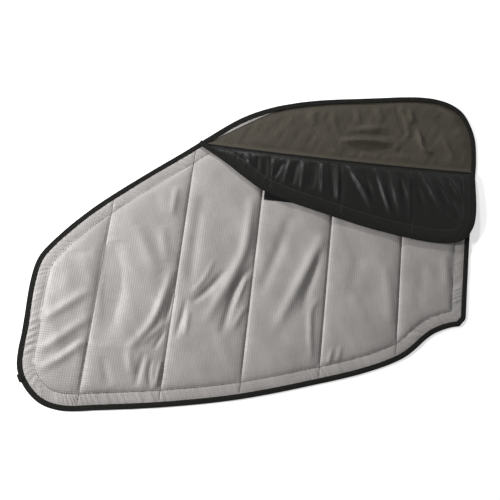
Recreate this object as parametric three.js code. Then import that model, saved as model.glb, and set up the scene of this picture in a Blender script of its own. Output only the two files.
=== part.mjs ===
// Insulated window cover for the cab door of a van, lying on its lining with the silver side up.
// A quilted main panel and a mesh screen share one taped outer edge. The quilted flap that closes
// the screen is sewn along the fold and lies folded down over the main panel, black lining up.
// X runs along the cover's length, Y along its quilt seams and Z up from the ground.

import * as THREE from "three";
import { mergeVertices } from "three/addons/utils/BufferGeometryUtils.js";

// Driving dimensions, in millimetres. Plan points are measured from the first quilt seam.

// Main sizes. The patterns below are stretched to them.
const COVER_LENGTH = 1035;
const COVER_HEIGHT = 864;

// Quilting
const QUILT_PITCH = 175;
const FIRST_SEAM_X = 0;
const NARROWEST_PANEL = 60;
const BORDER_INSET = 37;
const FOLD_SEAM_INSET = 8;
const FLAP_BORDER_INSET = 32;
const FLAP_FOLD_INSET = 6;
const FLAP_SEAM_SHIFT = 3;
const FLAP_SEAM_LEAN = 9;

// Fabrics and padding
const FACE_THICKNESS = 0.5;
const LINING_THICKNESS = 0.5;
const WADDING_SEWN = 0.8;
const MESH_THICKNESS = 0.4;
const LAYER_GAP = 0.3;
const SEAM_LIFT = 1.2;
const MAIN_PUFF = 5;
const FLAP_PUFF = 3;
const FOOT_INSET = 14;

// Taped edge
const BINDING_WIDTH = 12.5;
const BINDING_THICKNESS = 0.6;
const BINDING_NOSE = 1.5;
const BINDING_CLEARANCE = 0.3;
const FABRIC_RIM_INSET = 5;
const SHARP_CORNER_RADIUS = 14.5;

// Fold
const FOLD_LEFT_Y = 249;
const FOLD_RIGHT_Y = 266;
const FOLD_LEFT_X = 183;
const FOLD_RIGHT_X = 879;
const FOLD_SAG = 5;
const FOLD_TAPE_WIDTH = 5;
const FOLD_TAPE_HEIGHT = 2.1;
const FOLD_TAPE_ROUND = 1.2;
const FLAP_CLEARANCE = 1.3;
const FLAP_RISE = 9;
const FLAP_DEPTH = 190;
const FLAP_SIDE_SETBACK = 5;
const FLAP_RISE_LENGTH = 45;

// Mesh screen
const MESH_OVERLAP = 6;
const MESH_DROP_LENGTH = 12;
const MESH_END_MARGIN = 18;
const FACING_WIDTH = 13;
const FACING_START_MARGIN = 20;
const FACING_END_X = 356;

// Magnets
const MAGNET_DIAMETER = 12;
const MAGNET_THICKNESS = 2;
const MAGNET_PLAY = 0.3;
const TWO_MAGNET_LENGTH = 210;

// Hook and loop strips
const STRIP_THICKNESS = 1;
const STRIP_CLEARANCE = 0.5;
const LOOP_STRIP_CORNER = [355, 126];
const LOOP_STRIP_LENGTH = 150;
const LOOP_STRIP_WIDTH = 50;
const HOOK_STRIP_CORNER = [398, 149];
const HOOK_STRIP_LENGTH = 90;
const HOOK_STRIP_WIDTH = 25;

// Outer edge, anticlockwise from the sharp corner at the lower right
const OUTER_PATTERN = [
  [864, -117],
  [866, -40],
  [870, 100],
  [881, 262],
  [882, 310],
  [875, 371],
  [843, 431],
  [792, 455],
  [728, 457],
  [600, 435],
  [450, 405],
  [350, 372],
  [275, 331],
  [197, 266],
  [149, 224],
  [51, 141],
  [-49, 49],
  [-120, -35],
  [-146, -79],
  [-153, -130],
  [-149, -230],
  [-141, -334],
  [-93, -390],
  [-40, -407],
  [60, -396],
  [201, -374],
  [351, -342],
  [502, -297],
  [643, -248],
  [724, -206],
  [783, -150],
  [824, -128],
];

// Free edge of the folded flap, from the fold's left end to its lower right corner
const FLAP_PATTERN = [
  [250, 207],
  [300, 175],
  [346, 149],
  [400, 131],
  [500, 109],
  [600, 89],
  [700, 76],
  [765, 72],
  [830, 79],
  [862, 101],
];
const FLAP_CORNER_RISE = 40;

// Directions in which the corners of the first and last panels lie
const UPPER_LEFT = [-0.91, 0.4];
const LOWER_LEFT = [-0.7, -0.7];
const LOWER_RIGHT = [0.7, -0.7];

// Folds in the silver fabric: a ridge stands up, a negative height is a crease
const FACE_FOLDS = [
  { from: [40, 85], to: [140, -45], width: 22, height: 1.8 },
  { from: [155, -90], to: [120, -300], width: 20, height: 1.6 },
  { from: [20, -250], to: [95, -345], width: 20, height: 1.2 },
  { from: [205, -140], to: [285, -310], width: 16, height: -1.8 },
  { from: [255, -100], to: [190, -160], width: 18, height: -1.6 },
  { from: [330, 110], to: [240, -110], width: 22, height: 2 },
  { from: [340, -40], to: [290, -210], width: 18, height: -2 },
  { from: [225, 200], to: [215, -60], width: 22, height: 1.2 },
  { from: [480, 50], to: [385, -230], width: 24, height: 1.9 },
  { from: [505, -100], to: [490, -235], width: 18, height: -1.4 },
  { from: [680, 40], to: [690, -150], width: 20, height: 1.1 },
  { from: [-100, -150], to: [-20, -260], width: 22, height: 1 },
  { from: [-60, 10], to: [-20, -120], width: 20, height: 1 },
];

// Creases of the mesh, which lies slack on the ground
const MESH_FOLDS = [
  { from: [425, 368], to: [520, 280], width: 16, height: 3 },
  { from: [530, 308], to: [690, 314], width: 14, height: 5 },
  { from: [500, 335], to: [650, 342], width: 16, height: 2.5 },
  { from: [700, 420], to: [735, 330], width: 16, height: 3.5 },
  { from: [760, 425], to: [835, 405], width: 14, height: 3 },
  { from: [735, 335], to: [790, 300], width: 16, height: 2.5 },
];

// Gathers of the flap's lining: deep at the fold, gone at the free edge
const GATHER_HEIGHT = 1.1;
const GATHER_REACH = 110;
const CHANNEL_GATHER = 0.4;

// Fineness of the grids
const DENSE_STEPS = 900;
const QUARTER_STEPS = DENSE_STEPS / 4;
const MAIN_ACROSS = 5;
const MAIN_ALONG = 14;
const FLAP_ACROSS = 8;
const FLAP_ALONG = 5;
const BINDING_STEPS = 3;
const CORNER_STEPS = 3;
const MESH_COLUMNS = 22;
const MESH_ROWS = 5;
const FACING_STEPS = 12;
const TAPE_CURVE_STEPS = 4;
const FOLD_STEPS = 48;
const STRIP_CELL = 12.5;
const MAGNET_SIDES = 12;

// Shapes of the puffs
const PUFF_POWER_ACROSS = 2.2;
const PUFF_POWER_ALONG = 8;
const CHANNEL_SHOULDER = 5;

// Heights that follow from the layers
const LINING_TOP_SEWN = SEAM_LIFT + LINING_THICKNESS;
const WADDING_LOW_SEWN = LINING_TOP_SEWN + LAYER_GAP;
const UPPER_SEWN = WADDING_LOW_SEWN + WADDING_SEWN + LAYER_GAP + FACE_THICKNESS;
const MAGNET_LOW = LINING_TOP_SEWN + LAYER_GAP;
const CHANNEL_HIGH = MAGNET_LOW + MAGNET_THICKNESS + MAGNET_PLAY + LAYER_GAP + FACE_THICKNESS;
const CHANNEL_RISE = CHANNEL_HIGH - UPPER_SEWN;
const BINDING_LOW = SEAM_LIFT - BINDING_CLEARANCE - BINDING_THICKNESS;
const BINDING_HIGH = UPPER_SEWN + BINDING_CLEARANCE + BINDING_THICKNESS;
const MESH_LOW = SEAM_LIFT;
const MESH_OVERLAP_LOW = UPPER_SEWN + LAYER_GAP;
const FLAP_LOW = UPPER_SEWN + FLAP_CLEARANCE;
const CHANNEL_EDGE_INSET = BINDING_WIDTH + BINDING_NOSE;
const SHARP_RIM_INSET = FABRIC_RIM_INSET + SHARP_CORNER_RADIUS * (1 - Math.SQRT1_2);

// Materials
const silverFabric = new THREE.MeshStandardMaterial({ color: 0xb9b6b2, roughness: 0.45, metalness: 0.35 });
const blackSatin = new THREE.MeshStandardMaterial({ color: 0x191a18, roughness: 0.4, metalness: 0 });
const blackTape = new THREE.MeshStandardMaterial({ color: 0x262624, roughness: 0.8, metalness: 0 });
const screenMesh = new THREE.MeshStandardMaterial({ color: 0x4b453c, roughness: 0.7, metalness: 0 });
const padding = new THREE.MeshStandardMaterial({ color: 0xe8e6e0, roughness: 0.95, metalness: 0 });
const fastenerTape = new THREE.MeshStandardMaterial({ color: 0x0c0c0c, roughness: 0.95, metalness: 0 });
const magnetSteel = new THREE.MeshStandardMaterial({ color: 0x9a9c9e, roughness: 0.35, metalness: 0.9 });

// Plan geometry

function plan(x, y) {
  return new THREE.Vector2(x, y);
}

function mix(a, b, share) {
  return plan(a.x + (b.x - a.x) * share, a.y + (b.y - a.y) * share);
}

// The shares by which a place of the patterns is stretched to the cover's main sizes.
const patternBox = new THREE.Box2().setFromPoints(OUTER_PATTERN.map(([x, y]) => plan(x, y)));
const patternSize = patternBox.getSize(new THREE.Vector2());
const stretchX = COVER_LENGTH / patternSize.x;
const stretchY = COVER_HEIGHT / patternSize.y;

function fitted([x, y]) {
  return [x * stretchX, y * stretchY];
}

const [foldStartX, foldStartY] = fitted([FOLD_LEFT_X, FOLD_LEFT_Y]);
const [foldStopX, foldStopY] = fitted([FOLD_RIGHT_X, FOLD_RIGHT_Y]);

// The fold line's y at x. Between its ends it sags a little.
function foldY(x) {
  const share = (x - foldStartX) / (foldStopX - foldStartX);
  const within = THREE.MathUtils.clamp(share, 0, 1);
  const sag = 4 * FOLD_SAG * within * (1 - within);
  return foldStartY + (foldStopY - foldStartY) * share - sag;
}

// A line between two points that runs beside the fold, at a distance above it.
function besideFold(from, to, distance, steps) {
  const points = straight(from, to, steps);
  for (const p of points.slice(1, -1)) p.y = foldY(p.x) + distance;
  return points;
}

// A smooth plan curve through points, as a dense polyline.
function smoothLine(points, steps) {
  const curve = new THREE.CatmullRomCurve3(
    points.map(([x, y]) => new THREE.Vector3(x, y, 0)),
    false,
    "centripetal",
  );
  const line = [];
  for (let i = 0; i <= steps; i++) {
    const p = curve.getPoint(i / steps);
    line.push(plan(p.x, p.y));
  }
  return line;
}

// A polyline's point at a fractional index.
function pointAt(line, index) {
  const low = Math.min(Math.floor(index), line.length - 2);
  return mix(line[low], line[low + 1], index - low);
}

// The unit normal to the left of a polyline at one of its points.
function leftNormal(line, i) {
  const before = line[Math.max(i - 1, 0)];
  const after = line[Math.min(i + 1, line.length - 1)];
  const along = after.clone().sub(before).normalize();
  return plan(-along.y, along.x);
}

function insetLine(line, inset) {
  return line.map((p, i) => p.clone().addScaledVector(leftNormal(line, i), inset));
}

// Where two polylines first cross, as fractional indexes, walking b forwards and a from its end back.
function crossing(a, b) {
  for (let j = 0; j < b.length - 1; j++) {
    for (let i = a.length - 2; i >= 0; i--) {
      const hit = segmentHit(a[i], a[i + 1], b[j], b[j + 1]);
      if (hit) return [i + hit[0], j + hit[1]];
    }
  }
  throw new Error("two edges of the pattern don't meet");
}

// The shares at which two segments cross, or nothing.
function segmentHit(p, q, r, s) {
  const d = q.clone().sub(p);
  const e = s.clone().sub(r);
  const w = r.clone().sub(p);
  const cross = d.x * e.y - d.y * e.x;
  if (cross === 0) return undefined;
  const alongFirst = (w.x * e.y - w.y * e.x) / cross;
  const alongSecond = (w.x * d.y - w.y * d.x) / cross;
  const inside = alongFirst >= 0 && alongFirst <= 1 && alongSecond >= 0 && alongSecond <= 1;
  return inside ? [alongFirst, alongSecond] : undefined;
}

// Evenly spaced points on a polyline between two fractional indexes.
function evenPoints(line, from, to, count) {
  const part = [pointAt(line, from)];
  for (let i = Math.floor(from) + 1; i < to; i++) part.push(line[i]);
  part.push(pointAt(line, to));
  const distance = [0];
  for (let i = 1; i < part.length; i++) {
    distance.push(distance[i - 1] + part[i].distanceTo(part[i - 1]));
  }
  const whole = distance[distance.length - 1];
  const points = [part[0]];
  let at = 1;
  for (let k = 1; k < count; k++) {
    const wanted = (whole * k) / count;
    while (distance[at] < wanted) at++;
    const share = (wanted - distance[at - 1]) / (distance[at] - distance[at - 1]);
    points.push(mix(part[at - 1], part[at], share));
  }
  points.push(part[part.length - 1]);
  return points;
}

// Meshes over the plan

// A surface over the plan: shared points, found again by their place, and the triangles between them.
class PlanSurface {
  constructor() {
    this.points = [];
    this.triangles = [];
    this.index = new Map();
  }

  add(p, z) {
    const key = planKey(p);
    if (!this.index.has(key)) {
      this.index.set(key, this.points.length);
      this.points.push(new THREE.Vector3(p.x, p.y, z));
    }
    return this.index.get(key);
  }

  triangle(a, b, c) {
    if (a !== b && b !== c && c !== a) this.triangles.push([a, b, c]);
  }

  quad(a, b, c, d) {
    this.triangle(a, b, c);
    this.triangle(a, c, d);
  }

  // The same surface moved down.
  lowered(drop) {
    const copy = new PlanSurface();
    for (const p of this.points) copy.add(p, p.z - drop);
    copy.triangles = this.triangles.map((t) => [...t]);
    return copy;
  }

  // Takes in the triangles of another surface.
  join(other) {
    const moved = other.points.map((p) => this.add(p, p.z));
    for (const [a, b, c] of other.triangles) this.triangle(moved[a], moved[b], moved[c]);
    return this;
  }

  // The height of the surface over a plan point, or nothing beside it.
  heightAt(x, y) {
    for (const [ia, ib, ic] of this.triangles) {
      const a = this.points[ia];
      const b = this.points[ib];
      const c = this.points[ic];
      const area = (b.x - a.x) * (c.y - a.y) - (b.y - a.y) * (c.x - a.x);
      if (area === 0) continue;
      const shareB = ((x - a.x) * (c.y - a.y) - (y - a.y) * (c.x - a.x)) / area;
      const shareC = ((b.x - a.x) * (y - a.y) - (b.y - a.y) * (x - a.x)) / area;
      if (shareB < 0 || shareC < 0 || shareB + shareC > 1) continue;
      return a.z + (b.z - a.z) * shareB + (c.z - a.z) * shareC;
    }
    return undefined;
  }
}

function planKey(p) {
  return p.x.toFixed(3) + "," + p.y.toFixed(3);
}

// The closed solid between an upper and a lower surface with the same rim.
function slab(upper, lower) {
  const corners = [];
  const push = (...points) => points.forEach((p) => corners.push(p.x, p.y, p.z));
  const edges = new Set();
  for (const [a, b, c] of upper.triangles) {
    push(upper.points[a], upper.points[b], upper.points[c]);
    edges.add(a + "," + b).add(b + "," + c).add(c + "," + a);
  }
  for (const [a, b, c] of lower.triangles) {
    push(lower.points[a], lower.points[c], lower.points[b]);
  }
  for (const edge of edges) {
    const [a, b] = edge.split(",").map(Number);
    if (edges.has(b + "," + a)) continue;
    const highA = upper.points[a];
    const highB = upper.points[b];
    const lowA = lower.points[lower.index.get(planKey(highA))];
    const lowB = lower.points[lower.index.get(planKey(highB))];
    push(lowA, lowB, highB);
    push(lowA, highB, highA);
  }
  return closedGeometry(corners);
}

// A geometry with merged corners, from the corners of loose triangles.
function closedGeometry(corners) {
  const loose = new THREE.BufferGeometry();
  loose.setAttribute("position", new THREE.Float32BufferAttribute(corners, 3));
  const geometry = mergeVertices(loose, 1e-3);
  const kept = [];
  const index = geometry.index.array;
  for (let i = 0; i < index.length; i += 3) {
    const [a, b, c] = [index[i], index[i + 1], index[i + 2]];
    if (a !== b && b !== c && c !== a) kept.push(a, b, c);
  }
  geometry.setIndex(kept);
  geometry.computeVertexNormals();
  return geometry;
}

// Quilt layout

// One side of a quilted panel: its dense outline, the seam that runs its inset inside it, and
// whether it is a free edge with a border channel or the flat edge along the fold.
function quiltSide(edge, inset, free) {
  const outline = extended(edge);
  const seam = insetLine(outline, inset);
  return { outline, seam, free, start: 0, end: seam.length - 1 };
}

// A line with one more point straight on at each end, so that neighbouring seams can meet.
function extended(line) {
  const first = line[0].clone().sub(line[1]).setLength(QUILT_PITCH / 2).add(line[0]);
  const last = line[line.length - 1];
  const beyond = last.clone().sub(line[line.length - 2]).setLength(QUILT_PITCH / 2).add(last);
  return [first, ...line, beyond];
}

// The seams of neighbouring sides end where they cross.
function mitreSides(sides) {
  sides.forEach((side, i) => {
    const next = sides[(i + 1) % sides.length];
    const [endOfThis, startOfNext] = crossing(side.seam, next.seam);
    side.end = endOfThis;
    next.start = startOfNext;
  });
}

// A layout's places are numbers: the side's index plus the share of its seam.
function seamIndex(side, share) {
  return side.start + (side.end - side.start) * share;
}

function outlineIndex(side, share) {
  const last = side.outline.length - 2;
  if (share === 0) return 1;
  if (share === 1) return last;
  return THREE.MathUtils.clamp(seamIndex(side, share), 1, last);
}

// The places where a straight quilt seam through a and b crosses the border seam.
function quiltCrossings(sides, a, b) {
  const found = [];
  sides.forEach((side, s) => {
    for (let i = 0; i < side.seam.length - 1; i++) {
      const hit = segmentHit(side.seam[i], side.seam[i + 1], a, b);
      const share = hit ? (i + hit[0] - side.start) / (side.end - side.start) : -1;
      if (share > 0 && share < 1) found.push({ place: s + share, y: pointAt(side.seam, i + hit[0]).y });
    }
  });
  found.sort((p, q) => p.y - q.y);
  return { bottom: found[0].place, top: found[found.length - 1].place };
}

// The place on one side's seam that reaches furthest in a direction.
function extremePlace(sides, s, direction) {
  const side = sides[s];
  let best = side.start;
  for (let i = Math.ceil(side.start); i <= side.end; i++) {
    if (side.seam[i].dot(direction) > pointAt(side.seam, best).dot(direction)) best = i;
  }
  return s + (best - side.start) / (side.end - side.start);
}

// Stations from one place to the next, anticlockwise. A station is a point on the seam with its
// partner on the outline. Where the way passes a corner, the steps are shared out by length.
function stations(sides, from, to, steps) {
  const goal = to < from ? to + sides.length : to;
  const corner = Math.floor(from) + 1;
  if (goal <= corner) return stretch(sides, from, goal, steps);
  const first = lengthOf(stretch(sides, from, corner, 1));
  const second = lengthOf(stretch(sides, corner, goal, 1));
  const split = Math.round((steps * first) / (first + second));
  const before = Math.min(Math.max(split, 1), steps - 1);
  const head = stretch(sides, from, corner, before);
  return [...head.slice(0, -1), ...stretch(sides, corner, goal, steps - before)];
}

function lengthOf(list) {
  return list[0].seam.distanceTo(list[list.length - 1].seam);
}

function stretch(sides, from, to, steps) {
  const s = Math.floor(from);
  const side = sides[s % sides.length];
  const shares = [from - s, to - s];
  const seam = evenPoints(side.seam, ...shares.map((v) => seamIndex(side, v)), steps);
  const outline = evenPoints(side.outline, ...shares.map((v) => outlineIndex(side, v)), steps);
  return seam.map((point, i) => ({
    seam: point,
    outline: outline[i],
    free: side.free,
    sewn: i === 0 || i === steps || !side.free,
    wave: i % 2 === 0 ? 1 : -1,
    sharp: side.free && ((i === 0 && shares[0] === 0) || (i === steps && shares[1] === 1)),
  }));
}

// The four edges of every panel and the stations of the whole border, for a quilt with straight
// seams. The cap corners are the places that bound its first and last panel.
function quiltLayout({ sides, seams, caps, across, along }) {
  const crossings = seams.map(([a, b]) => quiltCrossings(sides, a, b));
  const panels = [];
  const border = [];
  const edge = (from, to, steps) => {
    if (from === to) return Array(steps + 1).fill(placePoint(sides, from));
    const run = stations(sides, from, to, steps);
    border.push(run);
    return run.map((station) => station.seam);
  };
  const inner = ({ bottom, top }) => straight(placePoint(sides, bottom), placePoint(sides, top), along);
  for (let k = 0; k <= crossings.length; k++) {
    const before = crossings[k - 1];
    const after = crossings[k];
    const bottomFrom = before ? before.bottom : caps.firstBottom;
    const bottomTo = after ? after.bottom : caps.lastBottom;
    const topFrom = after ? after.top : caps.lastTop;
    const topTo = before ? before.top : caps.firstTop;
    panels.push({
      bottom: edge(bottomFrom, bottomTo, across),
      top: edge(topFrom, topTo, across).reverse(),
      left: before ? inner(before) : edge(caps.firstTop, caps.firstBottom, along).reverse(),
      right: after ? inner(after) : edge(caps.lastBottom, caps.lastTop, along),
    });
  }
  return { panels, border };
}

function placePoint(sides, place) {
  const s = Math.floor(place);
  const side = sides[s % sides.length];
  return pointAt(side.seam, seamIndex(side, place - s));
}

function straight(from, to, steps) {
  const points = [];
  for (let i = 0; i <= steps; i++) points.push(mix(from, to, i / steps));
  points[0] = from;
  points[steps] = to;
  return points;
}

// The point of a four-sided panel at shares of its width and height.
function panelPoint({ bottom, top, left, right }, u, v) {
  const low = pointAt(bottom, u * (bottom.length - 1));
  const high = pointAt(top, u * (top.length - 1));
  const near = pointAt(left, v * (left.length - 1));
  const far = pointAt(right, v * (right.length - 1));
  if (v === 0) return low;
  if (v === 1) return high;
  if (u === 0) return near;
  if (u === 1) return far;
  const p = plan(0, 0);
  p.addScaledVector(low, 1 - v).addScaledVector(high, v);
  p.addScaledVector(near, 1 - u).addScaledVector(far, u);
  p.addScaledVector(bottom[0], -(1 - u) * (1 - v)).addScaledVector(top[0], -(1 - u) * v);
  p.addScaledVector(bottom[bottom.length - 1], -u * (1 - v)).addScaledVector(top[top.length - 1], -u * v);
  return p;
}

// Layers of a quilt

// How full a puff is at shares of its panel: 0 at the seams, 1 in the middle.
function puffShare(u, v) {
  const across = 1 - Math.abs(2 * u - 1) ** PUFF_POWER_ACROSS;
  const along = 1 - Math.abs(2 * v - 1) ** PUFF_POWER_ALONG;
  return across * along;
}

// The puffed surface of the panels. The height function gets the point and how full the puff is.
function puffedPanels({ panels }, height) {
  const surface = new PlanSurface();
  for (const panel of panels) {
    const columns = panel.bottom.length - 1;
    const rows = panel.left.length - 1;
    const at = (i, j) => {
      const p = panelPoint(panel, i / columns, j / rows);
      return surface.add(p, height(p, puffShare(i / columns, j / rows)));
    };
    for (let i = 0; i < columns; i++) {
      for (let j = 0; j < rows; j++) surface.quad(at(i, j), at(i + 1, j), at(i + 1, j + 1), at(i, j + 1));
    }
  }
  return surface;
}

// The underside of the panels: it drops from the seams to a flat foot under each puff.
function footedPanels({ panels }, sewn, foot) {
  const surface = new PlanSurface();
  for (const panel of panels) {
    const columns = panel.bottom.length - 1;
    const rows = panel.left.length - 1;
    const width = panelPoint(panel, 0, 0.5).distanceTo(panelPoint(panel, 1, 0.5));
    const height = panelPoint(panel, 0.5, 0).distanceTo(panelPoint(panel, 0.5, 1));
    const shares = rimShares(columns, rows);
    const inU = FOOT_INSET / width;
    const inV = FOOT_INSET / height;
    const rim = shares.map(([u, v]) => panelPoint(panel, u, v));
    const within = (share, inset) => inset + (1 - 2 * inset) * share;
    const ring = shares.map(([u, v]) => panelPoint(panel, within(u, inU), within(v, inV)));
    const rimIndex = rim.map((p) => surface.add(p, sewn(p)));
    const ringIndex = ring.map((p) => surface.add(p, foot(p)));
    rim.forEach((_, i) => {
      const next = (i + 1) % rim.length;
      surface.quad(rimIndex[i], rimIndex[next], ringIndex[next], ringIndex[i]);
    });
    fillRing(surface, ringIndex, columns, rows);
  }
  return surface;
}

// Fills a ring of points that runs round a panel: a fan at each end and quads from side to side.
function fillRing(surface, ring, columns, rows) {
  const low = (i) => ring[i];
  const right = (j) => ring[columns + j];
  const high = (i) => ring[2 * columns + rows - i];
  const left = (j) => ring[(2 * (columns + rows) - j) % ring.length];
  for (let i = 0; i < columns; i++) {
    surface.triangle(left(1), low(i), low(i + 1));
    surface.triangle(left(rows - 1), high(i + 1), high(i));
  }
  surface.triangle(left(1), right(0), right(1));
  surface.triangle(left(rows - 1), right(rows - 1), right(rows));
  for (let j = 1; j < rows - 1; j++) surface.quad(left(j), right(j), right(j + 1), left(j + 1));
}

// The shares of width and height round a panel's rim, anticlockwise.
function rimShares(columns, rows) {
  const shares = [];
  for (let i = 0; i < columns; i++) shares.push([i / columns, 0]);
  for (let j = 0; j < rows; j++) shares.push([1, j / rows]);
  for (let i = columns; i > 0; i--) shares.push([i / columns, 1]);
  for (let j = rows; j > 0; j--) shares.push([0, j / rows]);
  return shares;
}

// The border between the border seam and the fabric's rim. Each row has its inset from the outline
// and how far it rises as a channel.
function borderBand({ border, inset }, rows, height) {
  const surface = new PlanSurface();
  const at = (station, row, last) => {
    const rim = station.sharp && last ? SHARP_RIM_INSET : row.inset;
    const p = row.inset === inset ? station.seam : mix(station.outline, station.seam, rim / inset);
    return surface.add(p, height(p, station.sewn ? 0 : row.rise, station.wave));
  };
  for (const run of border) {
    for (let i = 0; i < run.length - 1; i++) {
      for (let r = 0; r < rows.length - 1; r++) {
        const last = r === rows.length - 2;
        const inner = [at(run[i], rows[r], false), at(run[i + 1], rows[r], false)];
        const outer = [at(run[i], rows[r + 1], last), at(run[i + 1], rows[r + 1], last)];
        surface.quad(outer[0], outer[1], inner[1], inner[0]);
      }
    }
  }
  return surface;
}

// The three layers of a quilt: an upper fabric with puffs and a border channel, a lower fabric
// with flat feet, and the wadding between them inside the border seam.
function quiltLayers(layout, { base, puff, relief }) {
  const upperHeight = (p, share) => base(p) + UPPER_SEWN + (puff + relief(p)) * share;
  const channelHeight = (p, rise, wave) => {
    return base(p) + UPPER_SEWN + rise * (CHANNEL_RISE + CHANNEL_GATHER * (1 + wave));
  };
  const channelRows = [
    { inset: layout.inset, rise: 0 },
    { inset: layout.inset - CHANNEL_SHOULDER, rise: 1 },
    { inset: CHANNEL_EDGE_INSET + CHANNEL_SHOULDER, rise: 1 },
    { inset: CHANNEL_EDGE_INSET, rise: 0 },
    { inset: FABRIC_RIM_INSET, rise: 0 },
  ];
  const flatRows = [channelRows[0], channelRows[3], channelRows[4]];
  const puffed = puffedPanels(layout, upperHeight);
  const upper = new PlanSurface().join(puffed).join(borderBand(layout, channelRows, channelHeight));
  const footed = footedPanels(layout, (p) => base(p) + SEAM_LIFT, base);
  const flatBand = borderBand(layout, flatRows, (p) => base(p) + SEAM_LIFT);
  const lower = new PlanSurface().join(footed).join(flatBand);
  const waddingTop = puffed.lowered(FACE_THICKNESS + LAYER_GAP);
  return {
    upper: slab(upper, upper.lowered(FACE_THICKNESS)),
    upperSurface: upper,
    wadding: slab(waddingTop, footed.lowered(-LINING_THICKNESS - LAYER_GAP)),
    lower: slab(lower.lowered(-LINING_THICKNESS), lower),
    lowerSurface: lower,
  };
}

// The rise of a list of folds at a plan point.
function foldRelief(folds, p) {
  let rise = 0;
  for (const { from, to, width, height } of folds) {
    const start = plan(...fitted(from));
    const along = plan(...fitted(to)).sub(start);
    const share = THREE.MathUtils.clamp(p.clone().sub(start).dot(along) / along.lengthSq(), 0, 1);
    const distance = p.distanceTo(start.addScaledVector(along, share));
    rise += height * Math.exp(-((distance / width) ** 2));
  }
  return rise;
}

// The outer edge and the fold

const outerPoints = OUTER_PATTERN.map(fitted);
const outerLine = smoothLine([...outerPoints, outerPoints[0]], DENSE_STEPS);

// Where the fold line meets the outer edge.
const foldBeyond = plan(-QUILT_PITCH, foldY(-QUILT_PITCH));
const foldFarBeyond = plan(foldStopX * 2, foldY(foldStopX * 2));
const foldLineLong = besideFold(foldBeyond, foldFarBeyond, 0, FOLD_STEPS);
const rightEnd = crossing(outerLine.slice(0, QUARTER_STEPS), foldLineLong)[0];
const leftEnd = QUARTER_STEPS + crossing(outerLine.slice(QUARTER_STEPS), foldLineLong)[0];
const foldRight = pointAt(outerLine, rightEnd);
const foldLeft = pointAt(outerLine, leftEnd);

// A part of a dense line between two fractional indexes.
function lineBetween(line, from, to) {
  const part = [pointAt(line, from)];
  for (let i = Math.floor(from) + 1; i < to; i++) part.push(line[i]);
  part.push(pointAt(line, to));
  return part;
}

// Main panel

function mainLayout() {
  const sides = [
    quiltSide(lineBetween(outerLine, leftEnd, DENSE_STEPS), BORDER_INSET, true),
    quiltSide(lineBetween(outerLine, 0, rightEnd), BORDER_INSET, true),
    quiltSide(besideFold(foldRight, foldLeft, 0, QUARTER_STEPS), FOLD_SEAM_INSET, false),
  ];
  mitreSides(sides);
  const reach = COVER_HEIGHT;
  const rightmost = foldRight.x - BORDER_INSET - NARROWEST_PANEL;
  const seams = [];
  for (let x = FIRST_SEAM_X; x < rightmost; x += QUILT_PITCH) seams.push([plan(x, -reach), plan(x, reach)]);
  const caps = {
    firstTop: extremePlace(sides, 0, plan(...UPPER_LEFT)),
    firstBottom: extremePlace(sides, 0, plan(...LOWER_LEFT)),
    lastBottom: 1,
    lastTop: 2,
  };
  const layout = quiltLayout({ sides, seams, caps, across: MAIN_ACROSS, along: MAIN_ALONG });
  return { ...layout, inset: BORDER_INSET };
}

const ground = () => 0;
const mainQuilt = mainLayout();
const mainLayers = quiltLayers(mainQuilt, {
  base: ground,
  puff: MAIN_PUFF,
  relief: (p) => foldRelief(FACE_FOLDS, p),
});

// Flap

// The flap's underside rises from the fold, over the main panel's puffs, and its free edge stands off.
function flapBase(p) {
  const depth = Math.max(foldY(p.x) - p.y, 0);
  return FLAP_LOW + FLAP_RISE * (1 - Math.exp(-depth / FLAP_RISE_LENGTH));
}

// The flap hangs just below the fold tape.
const flapTopDrop = FOLD_TAPE_WIDTH / 2 + LAYER_GAP;
const flapRightX = foldRight.x - FLAP_SIDE_SETBACK;
const flapLeft = plan(foldLeft.x + flapTopDrop, foldY(foldLeft.x) - flapTopDrop);
const flapRight = plan(flapRightX, foldY(flapRightX) - flapTopDrop);
const flapPoints = FLAP_PATTERN.map(fitted);
const flapEdge = smoothLine(
  [
    flapLeft.toArray(),
    ...flapPoints,
    [flapRightX, flapPoints[flapPoints.length - 1][1] + FLAP_CORNER_RISE],
    flapRight.toArray(),
  ],
  DENSE_STEPS / 2,
);

function flapLayout() {
  const sides = [
    quiltSide(flapEdge, FLAP_BORDER_INSET, true),
    quiltSide(besideFold(flapRight, flapLeft, -flapTopDrop, QUARTER_STEPS), FLAP_FOLD_INSET, false),
  ];
  mitreSides(sides);
  const leftmost = foldLeft.x + FLAP_BORDER_INSET + NARROWEST_PANEL;
  const rightmost = flapRightX - FLAP_BORDER_INSET - NARROWEST_PANEL;
  const seams = [];
  for (let x = FIRST_SEAM_X; x < rightmost; x += QUILT_PITCH) {
    const high = plan(x + FLAP_SEAM_SHIFT, foldY(x) + FLAP_DEPTH);
    const low = plan(x + FLAP_SEAM_SHIFT + 2 * FLAP_SEAM_LEAN, foldY(x) - FLAP_DEPTH);
    if (x > leftmost) seams.push([high, low]);
  }
  const caps = {
    firstTop: 0,
    firstBottom: 0,
    lastBottom: extremePlace(sides, 0, plan(...LOWER_RIGHT)),
    lastTop: 1,
  };
  const layout = quiltLayout({ sides, seams, caps, across: FLAP_ACROSS, along: FLAP_ALONG });
  return { ...layout, inset: FLAP_BORDER_INSET };
}

// Gathers stand across the fold and die out towards the free edge.
function gatherRelief(p) {
  const depth = Math.max(foldY(p.x) - p.y, 0);
  const fade = Math.max(1 - depth / GATHER_REACH, 0);
  return GATHER_HEIGHT * fade * Math.cos((Math.PI * FLAP_ACROSS * p.x) / QUILT_PITCH);
}

const flapQuilt = flapLayout();
const flapLayers = quiltLayers(flapQuilt, { base: flapBase, puff: FLAP_PUFF, relief: gatherRelief });

// Taped edges

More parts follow.
